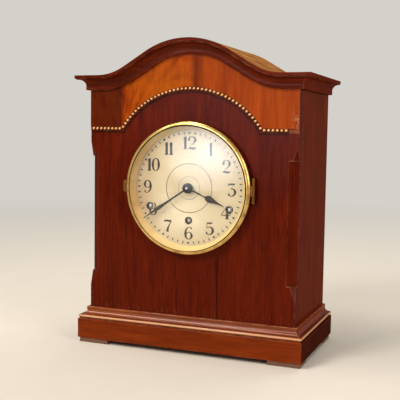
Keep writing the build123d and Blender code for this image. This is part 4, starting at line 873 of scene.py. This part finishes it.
dial_axis = Vector((dial_centre.x, dial_face_y, dial_centre.z))
wax = black_wax("wax_black")
pierced_hours = {4: "chime_winding_arbor", 8: "strike_winding_arbor"}
hour_strokes = []
for hour in range(1, 13):
    strokes = numeral(str(hour), on_dial(NUMERAL_RADIUS, math.radians(30 * hour)))
    if hour in pierced_hours:
        clear_of_hole(strokes, pierced_hours[hour])
    hour_strokes += strokes
join_as("hour_numerals", hour_strokes, wax, "case")


def dial_mark(half_x, half_z, vertices):
    """A low domed mark of wax, half_x by half_z millimetres, standing on the dial's face."""
    deselect()
    bpy.ops.mesh.primitive_cylinder_add(vertices=vertices, radius=1, depth=2, rotation=TO_FRONT)
    bpy.ops.object.transform_apply(location=False, rotation=True, scale=False)
    mark = bpy.context.object
    bpy.ops.object.mode_set(mode="EDIT")
    bpy.ops.mesh.select_all(action="SELECT")
    bpy.ops.transform.resize(value=(half_x * MM, INK_RISE * MM, half_z * MM))
    bpy.ops.object.mode_set(mode="OBJECT")
    ease_edges(mark, 0.5 * INK_RISE, 2)
    return mark


# A dot at each hour and, between them, a lozenge with the area of a plain dash
dot = dial_mark(DOT_RADIUS, DOT_RADIUS, 20)
dash = dial_mark(DASH_WIDTH / 2 * math.sqrt(2), DASH_LENGTH / 2 * math.sqrt(2), 4)
marks = []
for minute in range(60):
    turn = math.radians(6 * minute)
    pattern = dot if minute % 5 == 0 else dash
    marks.append(copy_to(pattern, on_dial(TRACK_RADIUS, turn), turn))
for pattern in (dot, dash):
    bpy.data.objects.remove(pattern)
join_as("minute_track", marks, wax, "case")

rings = []
for ring_radius, ring_width in RING_SIZES:
    deselect()
    bpy.ops.mesh.primitive_torus_add(
        major_radius=ring_radius * MM, minor_radius=ring_width / 2 * MM, major_segments=120, minor_segments=8,
        location=dial_axis, rotation=TO_FRONT,
    )
    ring = bpy.context.object
    ring.scale = (1, 1, RING_FLATNESS)
    rings.append(ring)
engraved = brass("brass_engraved_line", "#85775A", "#554930", 0.4, 0.6, 20.0)
join_as("dial_rings", rings, engraved, "case")


# Bezel, in millimetres: radius and height above the dial's face, as on the solid ring but with a true round
BEZEL_RADIUS = 82.3
BEZEL_BORE = 78.6
BEZEL_REAR = 1.7
BEZEL_HEIGHT = 11.0
BEZEL_ROUND = 4.5
LIP_RADIUS = 77.5
LIP_REAR = 10.2
ROUND_STEPS = 7
TURNING_STEPS = 160

# Dark ring at the edge of the glass, painted shade for the gap and its dark reflection in the glass, in
# millimetres, its share behind the lip, and its shift to the left and down
SHADE_RING_RADIUS = 0.75
SHADE_RING_HIDDEN = 0.7
SHADE_RING_SHIFT = 0.45
SHADE_RING_SIDES = 10


def turned_piece(points, edges, axis, degrees, steps, round_edge):
    """A piece turned about an axis from the points, in metres, and edges of its outline. Where the outline or
    the turn leaves it open, a flat face closes it."""
    mesh = bpy.data.meshes.new("outline")
    mesh.from_pydata(points, edges, [])
    piece = put_in_scene("turned", mesh)
    select_only(piece)
    turning = piece.modifiers.new("turning", "SCREW")
    turning.axis = axis
    turning.angle = math.radians(degrees)
    turning.steps = steps
    turning.render_steps = steps
    turning.use_merge_vertices = True
    turning.merge_threshold = MERGE_DISTANCE * MM
    bpy.ops.object.modifier_apply(modifier="turning")
    bpy.ops.object.mode_set(mode="EDIT")
    bpy.ops.mesh.select_all(action="DESELECT")
    bpy.ops.mesh.select_non_manifold()
    if piece.data.total_edge_sel:
        bpy.ops.mesh.edge_face_add()
    bpy.ops.mesh.select_all(action="SELECT")
    bpy.ops.mesh.normals_make_consistent(inside=False)
    bpy.ops.object.mode_set(mode="OBJECT")
    bpy.ops.object.shade_smooth_by_angle(angle=math.radians(round_edge))
    return piece


def turned_ring(outline):
    """A ring turned about the dial's axis from a closed outline of radius and height pairs in millimetres."""
    points = [(radius * MM, -height * MM, 0) for radius, height in outline]
    edges = [(index, (index + 1) % len(points)) for index in range(len(points))]
    ring = turned_piece(points, edges, "Y", 360, TURNING_STEPS, TURNED_EDGE)
    ring.location = dial_axis
    return ring


bezel_outline = [(BEZEL_BORE, BEZEL_REAR), (BEZEL_RADIUS, BEZEL_REAR)]
for step in range(ROUND_STEPS + 1):
    angle = math.radians(90 * step / ROUND_STEPS)
    round_radius = BEZEL_RADIUS - BEZEL_ROUND * (1 - math.cos(angle))
    bezel_outline.append((round_radius, BEZEL_HEIGHT - BEZEL_ROUND * (1 - math.sin(angle))))
bezel_outline += [(LIP_RADIUS, BEZEL_HEIGHT), (LIP_RADIUS, LIP_REAR), (BEZEL_BORE, LIP_REAR)]
bezel = join_as(
    "bezel_turned", [turned_ring(bezel_outline)], polished["polished_brass"], "bezel",
)
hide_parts("bezel_ring")

# A dark ring behind the bezel's lip, put where there is only shade: painted shade
shade_ring_outline = []
for step in range(SHADE_RING_SIDES):
    angle = math.radians(360 * step / SHADE_RING_SIDES)
    shade_ring_radius = LIP_RADIUS - SHADE_RING_HIDDEN * SHADE_RING_RADIUS + SHADE_RING_RADIUS * math.cos(angle)
    shade_ring_outline.append((shade_ring_radius, LIP_REAR + SHADE_RING_RADIUS * math.sin(angle)))
shade_ring = turned_ring(shade_ring_outline)
shade_ring.location += Vector((-SHADE_RING_SHIFT * MM, 0, -SHADE_RING_SHIFT * MM))
join_as("glass_shade_ring", [shade_ring], black_wax("shade_ring_dark"), "bezel")

# Hands, in millimetres: turn in degrees clockwise from twelve, height of the back above the dial's face, the
# blade as distance from the centre and half width, and the hub as radius and height
HOUR_TURN = 113.5
HOUR_FOOT = 3.2
HOUR_BLADE = (
    (5.0, 0.9), (15.0, 0.85), (24.0, 0.85), (25.4, 1.6), (27.2, 3.3), (30.2, 4.15), (33.6, 3.5), (37.6, 2.25),
    (42.5, 1.3), (47.0, 0.7), (51.0, 0.25),
)
HOUR_HUB = ((3.6, 3.2), (6.5, 3.2), (6.5, 3.8), (6.3, 4.0), (3.6, 4.0))
MINUTE_TURN = 236.0
MINUTE_FOOT = 6.0
MINUTE_BLADE = (
    (4.0, 1.05), (15.0, 1.05), (25.0, 1.1), (36.0, 1.65), (45.5, 2.4), (51.0, 1.8), (56.0, 1.1), (62.0, 0.7),
    (70.0, 0.5),
)
MINUTE_BOSS = (
    (2.42, 6.0), (6.0, 6.0), (6.0, 6.5), (5.8, 6.95), (5.2, 7.5), (4.2, 7.95), (3.2, 8.15), (2.42, 8.2),
)
HAND_THICKNESS = 0.8
HAND_EDGE = 0.15
HAND_SLACK = 0.03


def hand_blade(outline, turn, foot):
    """A flat hand with eased edges from its half widths, turned to its place with its back at the foot."""
    curve = bpy.data.curves.new("blade", "CURVE")
    curve.dimensions = "2D"
    curve.fill_mode = "BOTH"
    curve.resolution_u = 8
    curve.bevel_depth = HAND_EDGE * MM
    curve.bevel_resolution = 1
    curve.offset = -HAND_EDGE * MM
    curve.extrude = (HAND_THICKNESS / 2 - HAND_SLACK - HAND_EDGE) * MM
    right_side = [(half, along) for along, half in outline]
    left_side = [(-half, along) for along, half in reversed(outline)]
    spline = curve.splines.new("BEZIER")
    spline.use_cyclic_u = True
    spline.bezier_points.add(2 * len(outline) - 1)
    corners = (0, len(outline) - 1, len(outline), 2 * len(outline) - 1)
    for index, (knot, (across, along)) in enumerate(zip(spline.bezier_points, right_side + left_side)):
        knot.co = (across * MM, along * MM, 0)
        knot.handle_left_type = "VECTOR" if index in corners else "AUTO"
        knot.handle_right_type = "VECTOR" if index in corners else "AUTO"
    select_only(put_in_scene("blade", curve))
    bpy.ops.object.convert(target="MESH")
    blade = bpy.context.object
    blade.rotation_euler = (math.radians(90), math.radians(turn), 0)
    blade.location = dial_axis - Vector((0, (foot + HAND_THICKNESS / 2) * MM, 0))
    bpy.ops.object.transform_apply(location=True, rotation=True, scale=True)
    bpy.ops.object.mode_set(mode="EDIT")
    bpy.ops.mesh.select_all(action="SELECT")
    bpy.ops.mesh.remove_doubles(threshold=MERGE_DISTANCE * MM)
    bpy.ops.mesh.normals_make_consistent(inside=False)
    bpy.ops.object.mode_set(mode="OBJECT")
    return blade


def clock_hand(name, node, body, hub_outline, blade_outline, turn, foot):
    """One blued hand, its blade and hub made one skin, in place of the plainer hand of the frame."""
    hub = turned_ring(hub_outline)
    bpy.ops.object.transform_apply(location=True, rotation=True, scale=True)
    blade = hand_blade(blade_outline, turn, foot)
    work_with(hub, blade, "UNION")
    bpy.data.objects.remove(blade)
    select_only(hub)
    bpy.ops.object.shade_smooth_by_angle(angle=math.radians(TURNED_EDGE))
    hand = join_as(name, [hub], polished["blued_steel"], body)
    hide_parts(node)


clock_hand("hour_hand_blued", "hour_hand", "hour_hand_set", HOUR_HUB, HOUR_BLADE, HOUR_TURN, HOUR_FOOT)
clock_hand(
    "minute_hand_blued", "minute_hand", "minute_hand_set",
    MINUTE_BOSS, MINUTE_BLADE, MINUTE_TURN, MINUTE_FOOT,
)

# Rounded ends of the arbors, radius and rise in millimetres
CENTRE_TIP = (1.45, 0.5)
SQUARE_END = (2.2, 1.3)


def rounded_end(name, node, body, radius, rise, finish):
    """The domed front end of a steel arbor, radius and rise in millimetres."""
    deselect()
    bpy.ops.mesh.primitive_cylinder_add(
        vertices=32, radius=radius * MM, depth=2 * rise * MM, rotation=TO_FRONT,
        location=on_arbor(node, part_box(node)[0].y),
    )
    end = bpy.context.object
    ease_edges(end, 0.8 * rise, 4)
    bpy.ops.object.shade_smooth_by_angle(angle=math.radians(ROUND_EDGE))
    join_as(name, [end], finish, body)


rounded_end("centre_arbor_tip", "centre_wheel", "centre_wheel_set", *CENTRE_TIP, polished["steel"])
for train in ("going", "strike", "chime"):
    rounded_end(
        f"{train}_square_end", f"{train}_winding_arbor", f"{train}_winder", *SQUARE_END, winding_steel,
    )

# Beads, in millimetres; the first on a flat starts at a share of the pitch from the end of the arch
BEAD_PITCH = 5.3
BEAD_RADIUS = 2.42
BEAD_START = 0.6
BEAD_RINGS = 12
BEAD_STEPS = 10
STRIP_THICKNESS = 0.6


def turned_bead():
    """A half-round polished bead: a half circle turned half round to the front, with its flat back on the
    strip. A sphere primitive has its faces in another order each run, and this bead doesn't."""
    points = []
    for ring in range(BEAD_RINGS + 1):
        angle = math.pi * ring / BEAD_RINGS
        points.append((BEAD_RADIUS * MM * math.sin(angle), 0, BEAD_RADIUS * MM * math.cos(angle)))
    edges = [(index, index + 1) for index in range(BEAD_RINGS)]
    return turned_piece(points, edges, "Z", -180, BEAD_STEPS, ROUND_EDGE)


half_angle = math.asin(ARCH_HALF / ARCH_RADIUS)
arch_beads = round(2 * half_angle * ARCH_RADIUS / BEAD_PITCH)
bead_places = []
for index in range(arch_beads):
    angle = half_angle * (2 * (index + 0.5) / arch_beads - 1)
    bead_places.append((ARCH_RADIUS * math.sin(angle), ARCH_CENTRE + ARCH_RADIUS * math.cos(angle)))
for side, length in ((-1, CASE_HALF - ARCH_HALF), (1, CASE_HALF - ARCH_HALF - LOST_LENGTH)):
    for index in range(int(length / BEAD_PITCH)):
        bead_places.append((side * (ARCH_HALF + (index + BEAD_START) * BEAD_PITCH), FLAT_HEIGHT))
pattern = turned_bead()
strip_face_y = front_y - STRIP_THICKNESS * MM
beads = [copy_to(pattern, (x * MM, strip_face_y, z * MM)) for x, z in bead_places]
bpy.data.objects.remove(pattern)
join_as("turned_beads", beads, polished["polished_bead"], "case")

# Screws of the rear hinges, in millimetres, and the turns of their slots in degrees
SCREW_RADIUS = 1.5
SCREW_RISE = 0.7
SCREW_DOME = 0.45
SCREW_SLOT = 0.45
SCREW_STEP = 13.0
SCREWS_PER_LEAF = 3
SCREW_OFFSET = 1.2
LEAF_RISE = 1.0
LEAF_MIDDLE = 20.0
SLOT_TURN = 35.0
SLOT_TURN_STEP = 50.0


def slotted_screw():
    """A round-headed screw with a cut slot, its head facing the back."""
    deselect()
    bpy.ops.mesh.primitive_cylinder_add(
        vertices=28, radius=SCREW_RADIUS * MM, depth=2 * SCREW_RISE * MM, rotation=TO_FRONT,
    )
    bpy.ops.object.transform_apply(location=False, rotation=True, scale=False)
    screw = bpy.context.object
    ease_edges(screw, SCREW_DOME, 4)
    deselect()
    bpy.ops.mesh.primitive_cube_add(size=1, location=(0, SCREW_RISE * MM, 0))
    cutter = bpy.context.object
    cutter.scale = (4 * SCREW_RADIUS * MM, 0.8 * SCREW_RISE * MM, SCREW_SLOT * MM)
    work_with(screw, cutter, "DIFFERENCE")
    bpy.data.objects.remove(cutter)
    return screw


def hinge_screws(name, node, body):
    """Three screws down each of the two leaves of a rear hinge node."""
    low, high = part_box(node)
    barrel_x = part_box("right_side_panel")[0].x
    outer_x = high.x if high.x - barrel_x > barrel_x - low.x else low.x
    screw_x = (outer_x + barrel_x) / 2 + math.copysign(SCREW_OFFSET * MM, outer_x - barrel_x)
    leaf_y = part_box("back_door")[1].y + LEAF_RISE * MM
    pattern = slotted_screw()
    screws = []
    for leaf_z in (low.z + LEAF_MIDDLE * MM, high.z - LEAF_MIDDLE * MM):
        for index in range(SCREWS_PER_LEAF):
            z = leaf_z + (index - (SCREWS_PER_LEAF - 1) / 2) * SCREW_STEP * MM
            turn = math.radians(SLOT_TURN + SLOT_TURN_STEP * index)
            screws.append(copy_to(pattern, (screw_x, leaf_y, z), turn))
    bpy.data.objects.remove(pattern)
    join_as(name, screws, polished["polished_brass"], body)


hinge_screws("case_hinge_screws", "case_hinge_leaves", "case")
hinge_screws("door_hinge_screws", "door_hinge_leaves", "rear_door")

# Studio: colours and strengths of the light, then sizes in metres
BACKDROP = "#FFFBF4"
BACKDROP_LEVEL = 0.66
AMBIENT_LEVEL = 0.38
LAMP_TONE = "#FFF6EA"
FLOOR_SIZE = 40
COVE_STARTS = 0.5
COVE_FULL = 2.2
PAPER_TOOTH = 0.06
CASE_MIDDLE = (0, 0, 0.2)


def pale_paper(name):
    """Matt pale studio paper that runs out into the plain backdrop."""
    material, tree, place = new_material(name)
    tooth = add(tree, "TexNoise", {"Vector": place, "Scale": 1 / PAPER_TOOTH, "Detail": 3.0})
    colour = stained(tree, linear("#D9D3C9"), (tooth, "#DED9D0"))
    surface = add(tree, "BsdfPrincipled", {
        "Base Color": colour, "Roughness": 0.8, "Specular IOR Level": 0.2,
    })
    away = add(tree, "VectorMath", {0: place}, operation="LENGTH")
    cove = add(tree, "MapRange", {
        "Value": away.outputs["Value"], "From Min": COVE_STARTS, "From Max": COVE_FULL,
    })
    backdrop = add(tree, "Emission", {"Color": linear(BACKDROP), "Strength": BACKDROP_LEVEL})
    both = add(tree, "MixShader", {0: cove, 1: surface, 2: backdrop})
    add(tree, "OutputMaterial", {"Surface": both})
    return material


deselect()
bpy.ops.mesh.primitive_plane_add(size=FLOOR_SIZE)
floor = bpy.context.object
floor.name = "floor"
floor.data.materials.append(pale_paper("paper_pale"))

world = bpy.data.worlds.new("studio")
bpy.context.scene.world = world
world.use_nodes = True
sky_tree = world.node_tree
sky_tree.nodes.clear()
path = add(sky_tree, "LightPath", {})
seen = add(sky_tree, "Math", {
    0: path.outputs["Is Camera Ray"], 1: path.outputs["Is Glossy Ray"],
}, operation="ADD")
seen = add(sky_tree, "Math", {
    0: seen, 1: path.outputs["Is Transmission Ray"],
}, operation="ADD", use_clamp=True)
strength = add(sky_tree, "MapRange", {"Value": seen, "To Min": AMBIENT_LEVEL, "To Max": BACKDROP_LEVEL})
sky = add(sky_tree, "Background", {"Color": linear(BACKDROP), "Strength": strength})
add(sky_tree, "OutputWorld", {"Surface": sky})


def soft_box(name, place, aim, width, height, power, colour, feathered=False):
    """Rectangular studio lamp at a place, facing an aim point. A feathered one fades to its edges, for gloss
    only."""
    lamp = bpy.data.lights.new(name, "AREA")
    lamp.shape = "RECTANGLE"
    lamp.size = width
    lamp.size_y = height
    lamp.energy = power
    lamp.color = linear(colour)[:3]
    if feathered:
        lamp.use_nodes = True
        tree = lamp.node_tree
        tree.nodes.clear()
        across = add(tree, "NewGeometry", {}).outputs["Parametric"]
        centred = add(tree, "Mapping", {"Vector": across, "Location": (-1, -1, 0), "Scale": (2, 2, 0)})
        fade = add(tree, "TexGradient", {"Vector": centred}, gradient_type="SPHERICAL")
        glow = add(tree, "Emission", {"Strength": fade.outputs["Fac"]})
        add(tree, "OutputLight", {"Surface": glow})
    holder = put_in_scene(name, lamp)
    holder.location = place
    holder.visible_diffuse = not feathered
    holder.rotation_euler = (Vector(aim) - Vector(place)).to_track_quat("-Z", "Y").to_euler()


soft_box("key_lamp", (-0.95, -1.6, 1.5), CASE_MIDDLE, 0.8, 0.6, 29, LAMP_TONE)
soft_box("top_lamp", (-0.55, -0.35, 1.9), CASE_MIDDLE, 0.9, 0.5, 14, LAMP_TONE)
soft_box("fill_lamp", (1.9, -0.9, 0.9), CASE_MIDDLE, 1.0, 1.0, 15, LAMP_TONE)
soft_box("window_lamp", (-0.5, -2.4, 0.66), (0.02, -0.08, 0.25), 1.9, 1.5, 70, "#E4EDFF", feathered=True)
soft_box("back_lamp", (0.4, 1.6, 1.7), CASE_MIDDLE, 1.4, 0.8, 16, LAMP_TONE)

yaw = math.radians(CAMERA_YAW)
pitch = math.radians(CAMERA_PITCH)
roll = math.radians(CAMERA_ROLL)
ahead = Vector((-math.sin(yaw) * math.cos(pitch), math.cos(yaw) * math.cos(pitch), -math.sin(pitch)))
level = Vector((math.cos(yaw), math.sin(yaw), 0))
upward = level.cross(ahead)
right = math.cos(roll) * level + math.sin(roll) * upward
top = math.cos(roll) * upward - math.sin(roll) * level
camera_data = bpy.data.cameras.new("photograph_view")
camera_data.lens = CAMERA_LENS
camera_data.sensor_width = CAMERA_SENSOR
camera = put_in_scene("photograph_view", camera_data)
facing = Matrix((right, top, -ahead)).transposed().to_4x4()
stand = Matrix.Translation((CAMERA_RIGHT * MM, front_y - CAMERA_AHEAD * MM, CAMERA_HEIGHT * MM))
camera.matrix_world = stand @ facing
bpy.context.scene.camera = camera
bpy.context.scene.view_settings.view_transform = "Standard"
